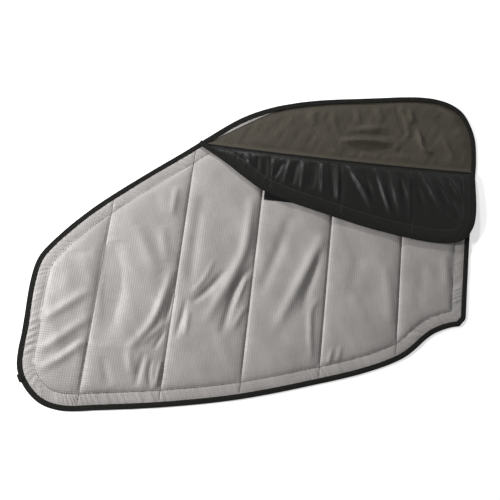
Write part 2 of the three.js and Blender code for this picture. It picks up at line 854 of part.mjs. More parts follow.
// The section of a tape folded round an edge: inset from the edge and height above the base.
function bindingSection() {
  const inner = BINDING_NOSE + BINDING_CLEARANCE;
  return [
    [BINDING_WIDTH, BINDING_HIGH],
    [BINDING_NOSE, BINDING_HIGH],
    [0, (BINDING_LOW + BINDING_HIGH) / 2],
    [BINDING_NOSE, BINDING_LOW],
    [BINDING_WIDTH, BINDING_LOW],
    [BINDING_WIDTH, BINDING_LOW + BINDING_THICKNESS],
    [inner, BINDING_LOW + BINDING_THICKNESS],
    [inner, BINDING_HIGH - BINDING_THICKNESS],
    [BINDING_WIDTH, BINDING_HIGH - BINDING_THICKNESS],
  ];
}

// A section carried along a line of edge points, each with the way to go for a millimetre inwards.
function swept(edge, section, base, closed) {
  const rings = edge.map(({ point, inward }) =>
    section.map(([inset, height]) => {
      const p = point.clone().addScaledVector(inward, inset);
      return new THREE.Vector3(p.x, p.y, base(p) + height);
    }),
  );
  const corners = [];
  const push = (...points) => points.forEach((p) => corners.push(p.x, p.y, p.z));
  const spans = closed ? rings.length : rings.length - 1;
  for (let i = 0; i < spans; i++) {
    const here = rings[i];
    const next = rings[(i + 1) % rings.length];
    section.forEach((_, k) => {
      const l = (k + 1) % section.length;
      push(here[k], here[l], next[l]);
      push(here[k], next[l], next[k]);
    });
  }
  if (!closed) {
    const cap = THREE.ShapeUtils.triangulateShape(section.map(([x, y]) => plan(x, y)), []);
    for (const [a, b, c] of cap) {
      push(rings[0][a], rings[0][c], rings[0][b]);
      const last = rings[rings.length - 1];
      push(last[a], last[b], last[c]);
    }
  }
  return closedGeometry(corners);
}

// A folded tape along a line of edge points.
function folded(edge, base, closed) {
  return swept(edge, bindingSection(), base, closed);
}

// Points every few dense steps along a line, with the direction inwards.
function edgeRun(line, count, from, to) {
  const run = [];
  for (let i = 0; i <= count; i++) {
    const index = Math.round(from + ((to - from) * i) / count);
    run.push({ point: line[index], inward: leftNormal(line, index) });
  }
  return run;
}

// The free edge of a quilt, station by station, so that the tape lies as the layers do.
function freeEdgeRun({ border, inset }) {
  const run = border.filter((part) => part[0].free).flatMap((part, i) => (i === 0 ? part : part.slice(1)));
  return run.map((station) => ({
    point: station.outline,
    inward: station.seam.clone().sub(station.outline).divideScalar(inset),
  }));
}

// The sharp corner of the outer edge, rounded for the tape.
function outerEdgeRun() {
  const trim = outerLine.findIndex((p) => p.distanceTo(outerLine[0]) > SHARP_CORNER_RADIUS);
  const backTrim = outerLine.findLastIndex((p) => p.distanceTo(outerLine[0]) > SHARP_CORNER_RADIUS);
  const run = edgeRun(outerLine, OUTER_PATTERN.length * BINDING_STEPS, trim, backTrim);
  const end = run[run.length - 1];
  const start = run[0];
  const centre = outerLine[0]
    .clone()
    .addScaledVector(end.inward, SHARP_CORNER_RADIUS)
    .addScaledVector(start.inward, SHARP_CORNER_RADIUS);
  for (let i = 1; i < CORNER_STEPS; i++) {
    const inward = end.inward.clone().lerp(start.inward, i / CORNER_STEPS).normalize();
    run.push({ point: centre.clone().addScaledVector(inward, -SHARP_CORNER_RADIUS), inward });
  }
  return run;
}

// Mesh screen

function meshScreen() {
  const rim = insetLine(outerLine, FABRIC_RIM_INSET);
  const foldUp = (distance) => [
    plan(foldLeft.x, foldY(foldLeft.x) + distance),
    plan(foldRight.x, foldY(foldRight.x) + distance),
  ];
  const low = MESH_DROP_LENGTH + FOLD_TAPE_WIDTH / 2;
  const start = crossing(rim.slice(0, QUARTER_STEPS), foldUp(low))[0];
  const finish = QUARTER_STEPS + crossing(rim.slice(QUARTER_STEPS), foldUp(low + MESH_DROP_LENGTH))[0];
  const corner = rim.findIndex((p, i) => i > start && p.y + p.x < rim[i - 1].y + rim[i - 1].x) - 1;
  const columns = MESH_COLUMNS;
  const rows = MESH_ROWS;
  const leftPoint = pointAt(rim, finish);
  const leftLow = plan(leftPoint.x, foldY(leftPoint.x) + low);
  const panel = {
    bottom: besideFold(leftLow, pointAt(rim, start), low, columns),
    right: evenPoints(rim, start, corner, rows),
    top: evenPoints(rim, corner, finish, columns).reverse(),
    left: straight(leftLow, leftPoint, rows),
  };
  const surface = new PlanSurface();
  const slack = (p) => MESH_LOW + MESH_THICKNESS + Math.max(foldRelief(MESH_FOLDS, p), 0);
  const at = (i, j) => {
    const p = panelPoint(panel, i / columns, j / rows);
    const onRim = j === rows || i === columns || j === 0;
    return surface.add(p, onRim ? MESH_LOW + MESH_THICKNESS : slack(p));
  };
  for (let i = 0; i < columns; i++) {
    for (let j = 0; j < rows; j++) surface.quad(at(i, j), at(i + 1, j), at(i + 1, j + 1), at(i, j + 1));
  }
  const overlapTop = MESH_OVERLAP_LOW + MESH_THICKNESS;
  const from = leftLow.x + MESH_END_MARGIN;
  const to = foldRight.x - MESH_END_MARGIN;
  const overlap = (i, distance) => {
    const x = from + ((to - from) * i) / columns;
    return surface.add(plan(x, foldY(x) + distance), overlapTop);
  };
  for (let i = 0; i < columns; i++) {
    const hidden = -MESH_OVERLAP;
    const shown = FOLD_TAPE_WIDTH / 2;
    surface.quad(overlap(i, hidden), overlap(i + 1, hidden), overlap(i + 1, shown), overlap(i, shown));
    surface.quad(overlap(i, shown), overlap(i + 1, shown), at(i + 1, 0), at(i, 0));
  }
  return slab(surface, surface.lowered(MESH_THICKNESS));
}

// The silver strip between mesh and tape: widest in its middle, pointed at both ends.
function meshFacing() {
  const finishX = foldLeft.x + FACING_START_MARGIN;
  const finish = outerLine.findIndex((p, i) => i > QUARTER_STEPS && p.x < finishX);
  const start = outerLine.findIndex((p, i) => i > QUARTER_STEPS && p.x < FACING_END_X * stretchX);
  const steps = FACING_STEPS;
  const surface = new PlanSurface();
  const top = MESH_LOW + 2 * MESH_THICKNESS + LAYER_GAP;
  const ribs = edgeRun(outerLine, steps, start, finish).map(({ point, inward }, i) => {
    const reach = BINDING_WIDTH + FACING_WIDTH * Math.sin((Math.PI * i) / steps);
    const rim = point.clone().addScaledVector(inward, FABRIC_RIM_INSET);
    return [surface.add(rim, top), surface.add(point.clone().addScaledVector(inward, reach), top)];
  });
  for (let i = 0; i < steps; i++) surface.quad(ribs[i][0], ribs[i + 1][0], ribs[i + 1][1], ribs[i][1]);
  return slab(surface, surface.lowered(MESH_THICKNESS));
}

// Fold tape: a narrow folded tape with a rounded back, from one end of the fold to the other.
function foldTape() {
  const half = FOLD_TAPE_WIDTH / 2;
  const section = [[-half, 0], [half, 0]];
  for (let i = 0; i <= TAPE_CURVE_STEPS; i++) {
    const angle = (Math.PI * i) / TAPE_CURVE_STEPS;
    const height = FOLD_TAPE_HEIGHT - (1 - Math.sin(angle)) * FOLD_TAPE_ROUND;
    section.push([half * Math.cos(angle), height]);
  }
  const start = plan(foldLeft.x + BINDING_WIDTH, foldY(foldLeft.x + BINDING_WIDTH));
  const end = plan(foldRight.x - BINDING_NOSE, foldY(foldRight.x - BINDING_NOSE));
  const line = besideFold(start, end, 0, FOLD_STEPS);
  const run = line.map((point, i) => ({ point, inward: leftNormal(line, i) }));
  return swept(run, section, () => FLAP_LOW, false);
}

// Hook and loop strips

// A flat strip that follows a surface, above it or below it.
function stripOver(surface, corner, length, width, above) {
  const [x, y] = fitted(corner);
  const columns = Math.round(length / STRIP_CELL);
  const rows = Math.round(width / STRIP_CELL);
  const strip = new PlanSurface();
  const offset = above ? STRIP_CLEARANCE + STRIP_THICKNESS : -STRIP_CLEARANCE;
  const at = (i, j) => {
    const p = plan(x + (length * i) / columns, y + (width * j) / rows);
    return strip.add(p, surface.heightAt(p.x, p.y) + offset);
  };
  for (let i = 0; i < columns; i++) {
    for (let j = 0; j < rows; j++) strip.quad(at(i, j), at(i + 1, j), at(i + 1, j + 1), at(i, j + 1));
  }
  return slab(strip, strip.lowered(STRIP_THICKNESS));
}

// Magnets

// One disc in the middle of each stretch of border channel between two sewn stations, or two in
// the long stretches along the sides.
function magnetPlaces({ border, inset }) {
  const depth = (inset + CHANNEL_EDGE_INSET) / 2;
  const places = [];
  for (const run of border) {
    const open = run.filter((station) => !station.sewn);
    const length = run[0].seam.distanceTo(run[run.length - 1].seam);
    if (open.length < 2 || length < NARROWEST_PANEL) continue;
    const count = length > TWO_MAGNET_LENGTH ? 2 : 1;
    for (let k = 0; k < count; k++) {
      const station = open[Math.floor(((k + 0.5) * open.length) / count)];
      places.push(mix(station.outline, station.seam, depth / inset));
    }
  }
  return places;
}

function addMagnet(name, place, base) {
  const radius = MAGNET_DIAMETER / 2;
  const disc = new THREE.CylinderGeometry(radius, radius, MAGNET_THICKNESS, MAGNET_SIDES);
  const mesh = addPiece(name, disc, magnetSteel);
  const baseBeside = (dx, dy) => base(plan(place.x + dx, place.y + dy));
  const riseX = baseBeside(radius, 0) - baseBeside(-radius, 0);
  const riseY = baseBeside(0, radius) - baseBeside(0, -radius);
  const up = new THREE.Vector3(-riseX, -riseY, MAGNET_DIAMETER).normalize();
  mesh.quaternion.setFromUnitVectors(new THREE.Vector3(0, 1, 0), up);
  mesh.position.set(place.x, place.y, base(place) + MAGNET_LOW + MAGNET_THICKNESS / 2);
}

// Assembly

const cover = new THREE.Group();

function addPiece(name, geometry, material) {
  const mesh = new THREE.Mesh(geometry, material);
  mesh.name = name;
  cover.add(mesh);
  return mesh;
}

addPiece("main_face", mainLayers.upper, silverFabric);
addPiece("main_wadding", mainLayers.wadding, padding);
addPiece("main_lining", mainLayers.lower, blackSatin);
addPiece("edge_binding", folded(outerEdgeRun(), ground, true), blackTape);
addPiece("mesh_screen", meshScreen(), screenMesh);
addPiece("mesh_facing", meshFacing(), silverFabric);
addPiece("fold_tape", foldTape(), blackTape);
addPiece("flap_face", flapLayers.lower, silverFabric);
addPiece("flap_wadding", flapLayers.wadding, padding);
addPiece("flap_lining", flapLayers.upper, blackSatin);
addPiece("flap_binding", folded(freeEdgeRun(flapQuilt), flapBase, false), blackTape);

addPiece(
  "loop_strip",
  stripOver(mainLayers.upperSurface, LOOP_STRIP_CORNER, LOOP_STRIP_LENGTH, LOOP_STRIP_WIDTH, true),
  fastenerTape,
);
addPiece(
  "hook_strip",
  stripOver(flapLayers.lowerSurface, HOOK_STRIP_CORNER, HOOK_STRIP_LENGTH, HOOK_STRIP_WIDTH, false),
  fastenerTape,
);

magnetPlaces(mainQuilt).forEach((place, i) => addMagnet("main_magnet_" + (i + 1), place, ground));
magnetPlaces(flapQuilt).forEach((place, i) => addMagnet("flap_magnet_" + (i + 1), place, flapBase));

// The origin is the middle of the cover's outline, at the height of the ground.
const bounds = new THREE.Box3().setFromObject(cover);
const origin = bounds.getCenter(new THREE.Vector3()).setZ(bounds.min.z);
cover.children.forEach((mesh) => mesh.position.sub(origin));

export default cover;
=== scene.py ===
# Insulated van window cover, lying flat with its silver side up.
# The CAD frame gives the outlines. The cloths are made here as fine sheets over the plan: puffs
# and channels between the seams, then named folds, gathers and small wrinkles, then threads.

import math

import bpy
import numpy as np
from mathutils import Matrix, Vector


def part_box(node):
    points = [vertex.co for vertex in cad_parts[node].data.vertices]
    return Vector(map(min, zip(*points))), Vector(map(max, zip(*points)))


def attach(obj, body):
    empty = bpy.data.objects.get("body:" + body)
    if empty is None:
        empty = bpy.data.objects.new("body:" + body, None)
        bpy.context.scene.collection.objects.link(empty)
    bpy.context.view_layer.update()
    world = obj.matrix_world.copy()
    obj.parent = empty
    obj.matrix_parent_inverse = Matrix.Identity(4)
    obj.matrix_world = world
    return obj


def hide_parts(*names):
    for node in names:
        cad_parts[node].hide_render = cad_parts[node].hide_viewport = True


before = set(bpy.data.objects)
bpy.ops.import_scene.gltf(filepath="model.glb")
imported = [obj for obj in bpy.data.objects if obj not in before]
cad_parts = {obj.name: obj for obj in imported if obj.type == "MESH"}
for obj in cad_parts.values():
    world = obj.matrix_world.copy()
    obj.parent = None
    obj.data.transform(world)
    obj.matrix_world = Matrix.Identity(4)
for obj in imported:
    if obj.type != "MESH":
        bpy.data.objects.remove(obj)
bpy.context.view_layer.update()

# Plan points are in millimetres from the first quilt seam, as in the CAD source.
LOOP_STRIP_CORNER = (355, 126)
loop_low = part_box("loop_strip")[0]
ORIGIN_X = LOOP_STRIP_CORNER[0] - loop_low[0] * 1000
ORIGIN_Y = LOOP_STRIP_CORNER[1] - loop_low[1] * 1000

# Quilting
QUILT_PITCH = 175
LAST_SEAM = 4
BORDER_INSET = 37
FOLD_SEAM_INSET = 8
FLAP_BORDER_INSET = 32
FLAP_FOLD_DEPTH = 9
FLAP_SEAMS = (2, 3, 4)
FLAP_SEAM_SHIFT = 3
FLAP_SEAM_SLOPE = 9 / 190

# Heights, in millimetres above the ground
SEAM_LIFT = 1.2
UPPER_SEWN = 3.6
CHANNEL_RISE = 1.6
MESH_TOP = 1.6
MESH_OVERLAP_TOP = 4.3
FLAP_LOW = 4.9
FLAP_RISE = 9
FLAP_RISE_LENGTH = 45
FOLD_TAPE_TOP = 7
FOLD_TAPE_ROUND = 1.4

# Puffs: how high they stand, and how far from a seam they take to swell
MAIN_PUFF = 6.5
MAIN_REACH = 50
MAIN_FOLD_REACH = 44
FLAP_PUFF = 3.5
FLAP_REACH = 36
FLAP_FOLD_REACH = 32
STEP_WIDTH = 3
STEP_SHARE = 0.27
FLAP_STEP_SHARE = 0.1
SWELL_POWER = 2.2

# Folds and creases
FACE_FOLD_STRENGTH = 2.4
MESH_FOLD_STRENGTH = 2.2
FLAP_FOLD_STRENGTH = 2.3
CREASE_PITCH = 13
MAIN_CREASE = 2.2
FLAP_CREASE = 1.1
GATHER_FADE = 55
GATHER_RISE = 0.8
NOISE_TABLE = 64

# Fastener strips
LOOP_STRIP_SIZE = (150, 50)
HOOK_STRIP_CORNER = (398, 149)
HOOK_STRIP_SIZE = (90, 25)
STRIP_CELL = 3
STRIP_ROUND = 0.5
STRIP_THICKNESS = 0.001
LOOP_STRIP_LIFT = 1.2
HOOK_STRIP_LIFT = -0.9

# Taped edge
BINDING_WIDTH = 12.5
BINDING_LOW = 0.3
BINDING_HIGH = 4.5
BINDING_MIDDLE = (BINDING_LOW + BINDING_HIGH) / 2
TAPE_THICKNESS = 0.6
FABRIC_RIM = 4.5
TAPE_END = (-136, -352)
TAPE_END_SIDE = 3
TAPE_END_SHIFT = 3.2

# Fold
FOLD_LEFT = (183, 249)
FOLD_RIGHT = (879, 266)
FOLD_SAG = 5
FOLD_SLOPE = (FOLD_RIGHT[1] - FOLD_LEFT[1]) / (FOLD_RIGHT[0] - FOLD_LEFT[0])
FOLD_TAPE_WIDTH = 5
FLAP_MIDDLE = (600, 190)

# Fineness
CELL = QUILT_PITCH / 56
FLAP_CELL = CELL * 0.8
COARSE_CELL = QUILT_PITCH / 28
CROWDING = 0.55
GROOVE = 2.6
OUTLINE_STEP = 6
TAPE_STEP = 3
TAPE_STITCH_INSET = 2.5
STITCH_LIFT = 0.15
QUILT_STITCH_LIFT = 0.35
TAPE_STITCH_LIFT = 0.2
CORNER_SLACK = 0.6
MESH_CELL = 3
FACING_WIDTH = 8
FACING_FROM, FACING_TO = 203, 356
FACING_LIFT = 0.7
THIN_CLOTH = 0.0004
PADDING_GAP = 1.5
PADDING_REACH = 5
PADDING_CELL = COARSE_CELL * 1.5
PADDING_MARGIN = 4
THINNEST = 0.2
LINING_GAP = 0.9

# Studio, in metres and watts
SENSOR, LENS = 36, 34.56
CAMERA_ANGLES = (78.12, -10.48, -17.4)
CAMERA_TARGET_X = 336.7
CAMERA_DISTANCE = 1.143
FLOOR_REACH = 6
FLOOR_LEVEL = -0.0002
FLOOR_GLOW = 0.6
SURROUND_LIGHT = 0.1


# Plan geometry


def flat(x, y):
    """The base of what lies on the ground."""
    return np.zeros(np.shape(x))


def fold_y(x):
    """The fold line's y at x. Between its ends it sags a little."""
    share = np.clip((x - FOLD_LEFT[0]) / (FOLD_RIGHT[0] - FOLD_LEFT[0]), 0, 1)
    return FOLD_LEFT[1] + (x - FOLD_LEFT[0]) * FOLD_SLOPE - 4 * FOLD_SAG * share * (1 - share)


def flap_base(x, y):
    """The height of the flap's underside: it rises away from the fold."""
    depth = np.maximum(fold_y(x) - y, 0)
    return FLAP_LOW + FLAP_RISE * (1 - np.exp(-depth / FLAP_RISE_LENGTH))


def plan_vertices(node):
    """A CAD node's vertices as an array, in plan millimetres."""
    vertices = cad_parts[node].data.vertices
    found = np.empty(len(vertices) * 3)
    vertices.foreach_get("co", found)
    return found.reshape(-1, 3) * 1000 + (ORIGIN_X, ORIGIN_Y, 0)


def edge_of(node, base, centre):
    """The plan points of a folded tape's outermost line, anticlockwise round a centre."""
    points = plan_vertices(node)
    off = points[:, 2] - base(points[:, 0], points[:, 1]) - BINDING_MIDDLE
    nose = np.unique(points[np.abs(off) < 0.1][:, :2].round(2), axis=0)
    angle = np.arctan2(nose[:, 1] - centre[1], nose[:, 0] - centre[0])
    return nose[np.argsort(angle)]


def smooth(points, closed, spans=8):
    """A dense curve through points."""
    points = np.asarray(points, dtype=float)
    if closed:
        padded = np.vstack([points[-1], points, points[0], points[1]])
    else:
        padded = np.vstack([2 * points[0] - points[1], points, 2 * points[-1] - points[-2]])
    a, b, c, d = padded[:-3], padded[1:-2], padded[2:-1], padded[3:]
    pieces = []
    for t in np.arange(spans) / spans:
        square = (2 * a - 5 * b + 4 * c - d) * t**2
        cube = (3 * b - a - 3 * c + d) * t**3
        pieces.append(0.5 * (2 * b + (c - a) * t + square + cube))
    curve = np.stack(pieces, axis=1).reshape(-1, points.shape[1])
    return curve if closed else np.vstack([curve, points[-1]])


def resampled(line, step, closed):
    """Evenly spaced points along a line."""
    ends = np.vstack([line, line[:1]]) if closed else line
    length = np.concatenate([[0], np.cumsum(np.linalg.norm(np.diff(ends, axis=0), axis=1))])
    count = max(int(round(length[-1] / step)), 2)
    wanted = np.linspace(0, length[-1], count + 1)
    points = np.stack([np.interp(wanted, length, ends[:, k]) for k in range(ends.shape[1])], axis=1)
    return points[:-1] if closed else points


def inward_normals(line, closed):
    """Unit normals to the left of a line of plan points."""
    if closed:
        along = np.roll(line, -1, axis=0) - np.roll(line, 1, axis=0)
    else:
        along = np.gradient(line, axis=0)
    along /= np.linalg.norm(along, axis=1)[:, None]
    return np.stack([-along[:, 1], along[:, 0]], axis=1)


def nearest(x, y, line, closed=False):
    """Each point's distance to a line, how far along the line its foot lies, and the foot."""
    distance = np.full(x.shape, np.inf)
    along = np.zeros(x.shape)
    foot_x = np.zeros(x.shape)
    foot_y = np.zeros(x.shape)
    ends = np.vstack([line, line[:1]]) if closed else np.asarray(line, dtype=float)
    travelled = 0
    for (ax, ay), (bx, by) in zip(ends[:-1], ends[1:]):
        dx, dy = bx - ax, by - ay
        length = math.hypot(dx, dy)
        share = np.clip(((x - ax) * dx + (y - ay) * dy) / length**2, 0, 1)
        fx, fy = ax + share * dx, ay + share * dy
        d = np.hypot(x - fx, y - fy)
        closer = d < distance
        distance = np.where(closer, d, distance)
        along = np.where(closer, travelled + share * length, along)
        foot_x = np.where(closer, fx, foot_x)
        foot_y = np.where(closer, fy, foot_y)
        travelled += length
    return distance, along, foot_x, foot_y


def inside(x, y, line):
    """Whether each point lies within a closed line."""
    within = np.zeros(x.shape, dtype=bool)
    for (ax, ay), (bx, by) in zip(line, np.roll(line, -1, axis=0)):
        if ay == by:
            continue
        crosses = (ay > y) != (by > y)
        within ^= crosses & (x < (bx - ax) * (y - ay) / (by - ay) + ax)
    return within


def snapped(x, y, line, closed, levels, reach):
    """Moves the points that lie near a level of distance from a line onto that level."""
    distance, _, foot_x, foot_y = nearest(x, y, line, closed)
    for level in levels:
        near = (np.abs(distance - level) < reach) & (distance > 0.01)
        share = np.where(near, level / np.maximum(distance, 0.01), 1)
        x = foot_x + (x - foot_x) * share
        y = foot_y + (y - foot_y) * share
        distance = np.where(near, level, distance)
    return x, y


# Relief


def noise(x, y, seed):
    """Smooth noise from -1 to 1 with a cell of one unit."""
    table = np.random.default_rng(seed).uniform(-1, 1, (NOISE_TABLE, NOISE_TABLE))
    cell_x, cell_y = np.floor(x).astype(int), np.floor(y).astype(int)
    tx, ty = x - cell_x, y - cell_y
    tx, ty = tx * tx * (3 - 2 * tx), ty * ty * (3 - 2 * ty)

    def at(i, j):
        return table[(cell_x + i) % NOISE_TABLE, (cell_y + j) % NOISE_TABLE]

    low = at(0, 0) * (1 - tx) + at(1, 0) * tx
    high = at(0, 1) * (1 - tx) + at(1, 1) * tx
    return low * (1 - ty) + high * ty


def swell(distance, reach):
    """From 0 at a seam to 1 at a distance from it, steep at the seam."""
    return 1 - (1 - np.clip(distance / reach, 0, 1)) ** SWELL_POWER


def puff_rise(distance, reach, share=STEP_SHARE):
    """How full a puff is at a distance from a seam: a steep step beside the stitches, then a swell."""
    step = 1 - np.exp(-((np.maximum(distance, 0) / STEP_WIDTH) ** 1.5))
    rest = 0.55 * swell(distance, 0.45 * reach) + 0.45 * swell(distance, 1.4 * reach)
    return share * step + (1 - share) * rest


def kept_above(height, low):
    """Eases a height that would fall below a level."""
    return 0.5 * (height + low + np.hypot(height - low, 0.6))


def ease(value, low, high):
    """A smooth step between two values."""
    t = np.clip((value - low) / (high - low), 0, 1)
    return t * t * (3 - 2 * t)


def folds(x, y, listed):
    """The sum of folds: each has its path, half width and height, and dies out at both ends."""
    total = np.zeros(x.shape)
    for path, width, height in listed:
        line = smooth(path, False, 4) if len(path) > 2 else np.asarray(path, dtype=float)
        distance, along, _, _ = nearest(x, y, line)
        length = np.linalg.norm(np.diff(line, axis=0), axis=1).sum()
        taper = np.sin(np.pi * np.clip(along / length, 0, 1)) ** 0.7
        total += height * taper * np.exp(-((distance / width) ** 2))
    return total


def creases(along, seed):
    """Sharp little creases that stand across a channel, crowded in some stretches and few in others."""
    drift = 1.4 * noise(along / 31, along * 0, seed)
    crowd = 0.5 + 0.5 * ease(noise(along / 85, along * 0 + 3.5, seed), -0.65, 0.35)
    height = 0.55 + 0.45 * noise(along / CREASE_PITCH, along * 0 + 5.5, seed)
    return crowd * height * (1 - 2 * np.abs(np.sin(np.pi * (along / CREASE_PITCH + drift))) ** 0.8)


def puckers(along, distance, pitch, reach, seed):
    """Short wrinkles that stand across a seam."""
    drift = noise(along / 37, along * 0, seed) * 0.9
    strength = 0.6 + 0.4 * noise(along / 23, along * 0 + 7.5, seed)
    return strength * np.cos(2 * np.pi * (along / pitch + drift)) * np.exp(-distance / reach)


# Outlines from the frame


def outer_outline():
    """The whole cover's edge, anticlockwise."""
    points = edge_of("edge_binding", flat, (ORIGIN_X, ORIGIN_Y))
    return resampled(smooth(points, True), OUTLINE_STEP, True)


def flap_outline():
    """The flap's free edge, from one end of the fold to the other."""
    points = edge_of("flap_binding", flap_base, FLAP_MIDDLE)
    start = np.argmax(np.linalg.norm(np.roll(points, 1, axis=0) - points, axis=1))
    return resampled(smooth(np.roll(points, -start, axis=0), False), OUTLINE_STEP, False)


outer_edge = outer_outline()
flap_edge = flap_outline()

# Named folds of the silver face: path, half width, height
FACE_FOLDS = (
    (((-109, -220), (-65, -183), (-15, -138)), 11, 2.0),
    (((-102, -288), (-53, -245), (-4, -199)), 11, 2.0),
    (((-95, -328), (-49, -293), (-4, -250)), 10, 1.8),
    (((-67, -297), (-11, -242)), 8, -1.0),
    (((-84, -63), (-24, -53)), 10, -0.8),
    (((19, -19), (35, -135), (34, -259)), 26, -4),
    (((67, 24), (116, -59), (138, -80)), 14, 1.5),
    (((124, 31), (147, -55)), 12, 1.3),
    (((164, -67), (155, -120), (135, -196), (88, -268)), 10, 2.8),
    (((168, -187), (119, -249)), 6, 1.0),
    (((176, -117), (163, -201)), 6, -1.4),
    (((166, -210), (147, -257)), 5, -1.2),
    (((128, -263), (123, -303), (120, -340)), 6, -1.8),
    (((147, -274), (145, -305), (153, -341)), 5, -1.6),
    (((37, -283), (63, -345)), 9, -1.2),
    (((93, -263), (108, -314)), 8, 1.4),
    (((168, -276), (164, -338)), 5, 1.4),
    (((208, 117), (205, 3), (209, -113)), 13, -1.7),
    (((327, 131), (325, 6), (296, -84), (249, -191)), 12, 3.0),
    (((285, -57), (250, -108), (217, -142)), 7, -2.6),
    (((257, -31), (240, -81), (213, -122)), 5, 1.2),
    (((347, -37), (314, -100), (293, -209)), 8, -2.6),
    (((338, -55), (318, -139)), 6, 1.4),
    (((343, -129), (316, -195)), 7, 1.2),
    (((204, -132), (199, -179), (192, -225)), 6, -1.6),
    (((214, -159), (213, -218)), 5, 1.2),
    (((145, 132), (144, 57)), 8, 1.4),
    (((424, 98), (402, 4), (369, -106)), 13, -1.8),
    (((508, 59), (473, -33), (413, -184)), 13, 3.0),
    (((507, 22), (469, -140)), 9, -1.7),
    (((509, -93), (493, -135), (503, -238)), 7, 1.7),
    (((661, 10), (684, -136)), 13, 1.3),
    (((550, -204), (544, -247)), 5, 1.1),
    (((570, -197), (564, -238)), 5, 1.0),
    (((807, 48), (815, -37)), 10, 1.2),
    (((596, 18), (580, -92)), 16, -0.9),
    (((754, 21), (744, -96)), 14, -0.8),
    (((-77, -103), (-69, -171)), 18, 0.9),
)

# Named folds of the screen
MESH_FOLDS = (
    (((432, 336), (476, 307), (526, 284)), 4, 1.2),
    (((447, 384), (462, 337)), 12, 2.0),
    (((524, 305), (590, 314), (664, 317)), 8, 5.2),
    (((542, 327), (598, 332), (662, 339)), 6, -2.0),
    (((536, 280), (638, 294), (733, 302)), 9, -1.6),
    (((557, 340), (652, 359)), 8, 2.0),
    (((666, 426), (699, 344)), 7, -1.8),
    (((703, 420), (715, 382)), 7, 2.2),
    (((713, 385), (716, 335)), 9, -1.6),
    (((728, 365), (743, 315), (772, 308)), 5, 3.0),
    (((779, 440), (814, 416), (849, 396)), 7, 4.0),
    (((768, 409), (803, 387), (843, 378)), 9, -2.0),
    (((791, 464), (829, 447), (856, 434)), 6, 2.2),
    (((614, 423), (633, 373)), 9, 1.4),
    (((566, 402), (576, 359)), 8, 1.2),
    (((503, 382), (523, 324)), 9, 1.3),
    (((790, 360), (823, 296)), 8, 1.6),
)

# Named folds of the flap's lining
FLAP_FOLDS = (
    (((552, 242), (589, 184), (625, 123)), 7, 3.6),
    (((622, 246), (643, 181), (670, 113)), 6, 3.0),
    (((659, 243), (675, 178), (696, 114)), 9, 3.2),
    (((706, 252), (716, 77)), 7, 2.2),
    (((734, 251), (769, 190), (807, 129)), 8, 3.4),
    (((769, 245), (802, 192), (833, 137)), 7, 2.4),
    (((802, 247), (821, 216), (842, 180)), 6, 2.6),
    (((527, 241), (535, 133)), 6, 2.0),
    (((329, 232), (332, 190)), 4, -2.0),
    (((348, 237), (354, 155)), 5, -2.2),
    (((391, 227), (374, 181)), 5, -2.2),
    (((425, 232), (419, 169)), 5, -2.4),
    (((469, 238), (466, 165)), 9, -2.6),
    (((507, 243), (522, 147)), 6, -2.6),
    (((368, 232), (363, 169)), 5, 1.8),
    (((408, 232), (399, 169)), 5, 2.0),
    (((443, 234), (442, 159)), 6, 2.4),
    (((487, 238), (495, 151)), 6, 2.4),
    (((304, 236), (315, 198)), 5, 1.6),
    (((590, 231), (620, 158)), 6, -1.8),
    (((680, 238), (699, 168)), 5, -1.8),
    (((720, 223), (753, 137)), 7, -1.8),
    (((835, 239), (844, 188)), 5, -1.4),
)


# Height fields of the sheets


def quilt_seam_distance(x):
    """How far the nearest quilt seam of the main panel is."""
    seam = np.clip(np.round(x / QUILT_PITCH), 0, LAST_SEAM) * QUILT_PITCH
    return np.abs(x - seam)


def main_parts(x, y):
    """How full the puff and the border channel are at each point, with the puckers of the seams."""
    edge, along, _, _ = nearest(x, y, outer_edge, True)
    seam = quilt_seam_distance(x)
    border = edge - BORDER_INSET
    fold = fold_y(x) - y - FOLD_SEAM_INSET
    full = puff_rise(seam, MAIN_REACH) * puff_rise(border, MAIN_REACH)
    full = full * puff_rise(fold, MAIN_FOLD_REACH) * (border > 0)
    channel = puff_rise(-border, 10) * swell(edge - BINDING_WIDTH, 9) * puff_rise(seam, 14)
    channel *= ease(fold, 0, 12) * (border < 0)
    seam_puckers = puckers(y, seam, 19, 11, 3) * ease(border, 0, 10)
    border_puckers = puckers(along, np.abs(border), 17, 10, 5)
    channel *= CHANNEL_RISE + MAIN_CREASE * creases(along + 0.6 * border, 51)
    return full, channel, seam_puckers, border_puckers


def face_height(x, y):
    """The silver face: puffs, folds, the border channel and the puckers of the seams."""
    full, channel, seam_puckers, border_puckers = main_parts(x, y)
    broad = 1.6 * noise(x / 60 + y / 130, y / 110, 11) + 0.8 * noise(x / 24 + y / 50, y / 48, 12)
    named = FACE_FOLD_STRENGTH * folds(x, y, FACE_FOLDS)
    fine = 0.1 * noise(x / 9 + y / 30, y / 14, 13)
    height = UPPER_SEWN + full * (MAIN_PUFF + broad + fine)
    height += named * ease(full, 0.02, 0.5)
    height += channel
    height += 0.45 * seam_puckers * ease(full, 0, 0.35)
    height += 0.4 * border_puckers * ease(full, 0, 0.35)
    return kept_above(height, UPPER_SEWN - 0.4)


def lining_height(x, y):
    """The back lining, lifted a little at its seams."""
    full, _, seam_puckers, _ = main_parts(x, y)
    return SEAM_LIFT * (1 - ease(full, 0.05, 0.6)) * (1 + 0.1 * seam_puckers)


def flap_seam_distance(x, y):
    """How far the nearest leaning seam of the flap is."""
    depth = fold_y(x) - y
    lean = x - FLAP_SEAM_SHIFT - FLAP_SEAM_SLOPE * (depth + QUILT_PITCH)
    distances = [np.abs(lean - k * QUILT_PITCH) for k in FLAP_SEAMS]
    return np.minimum.reduce(distances)


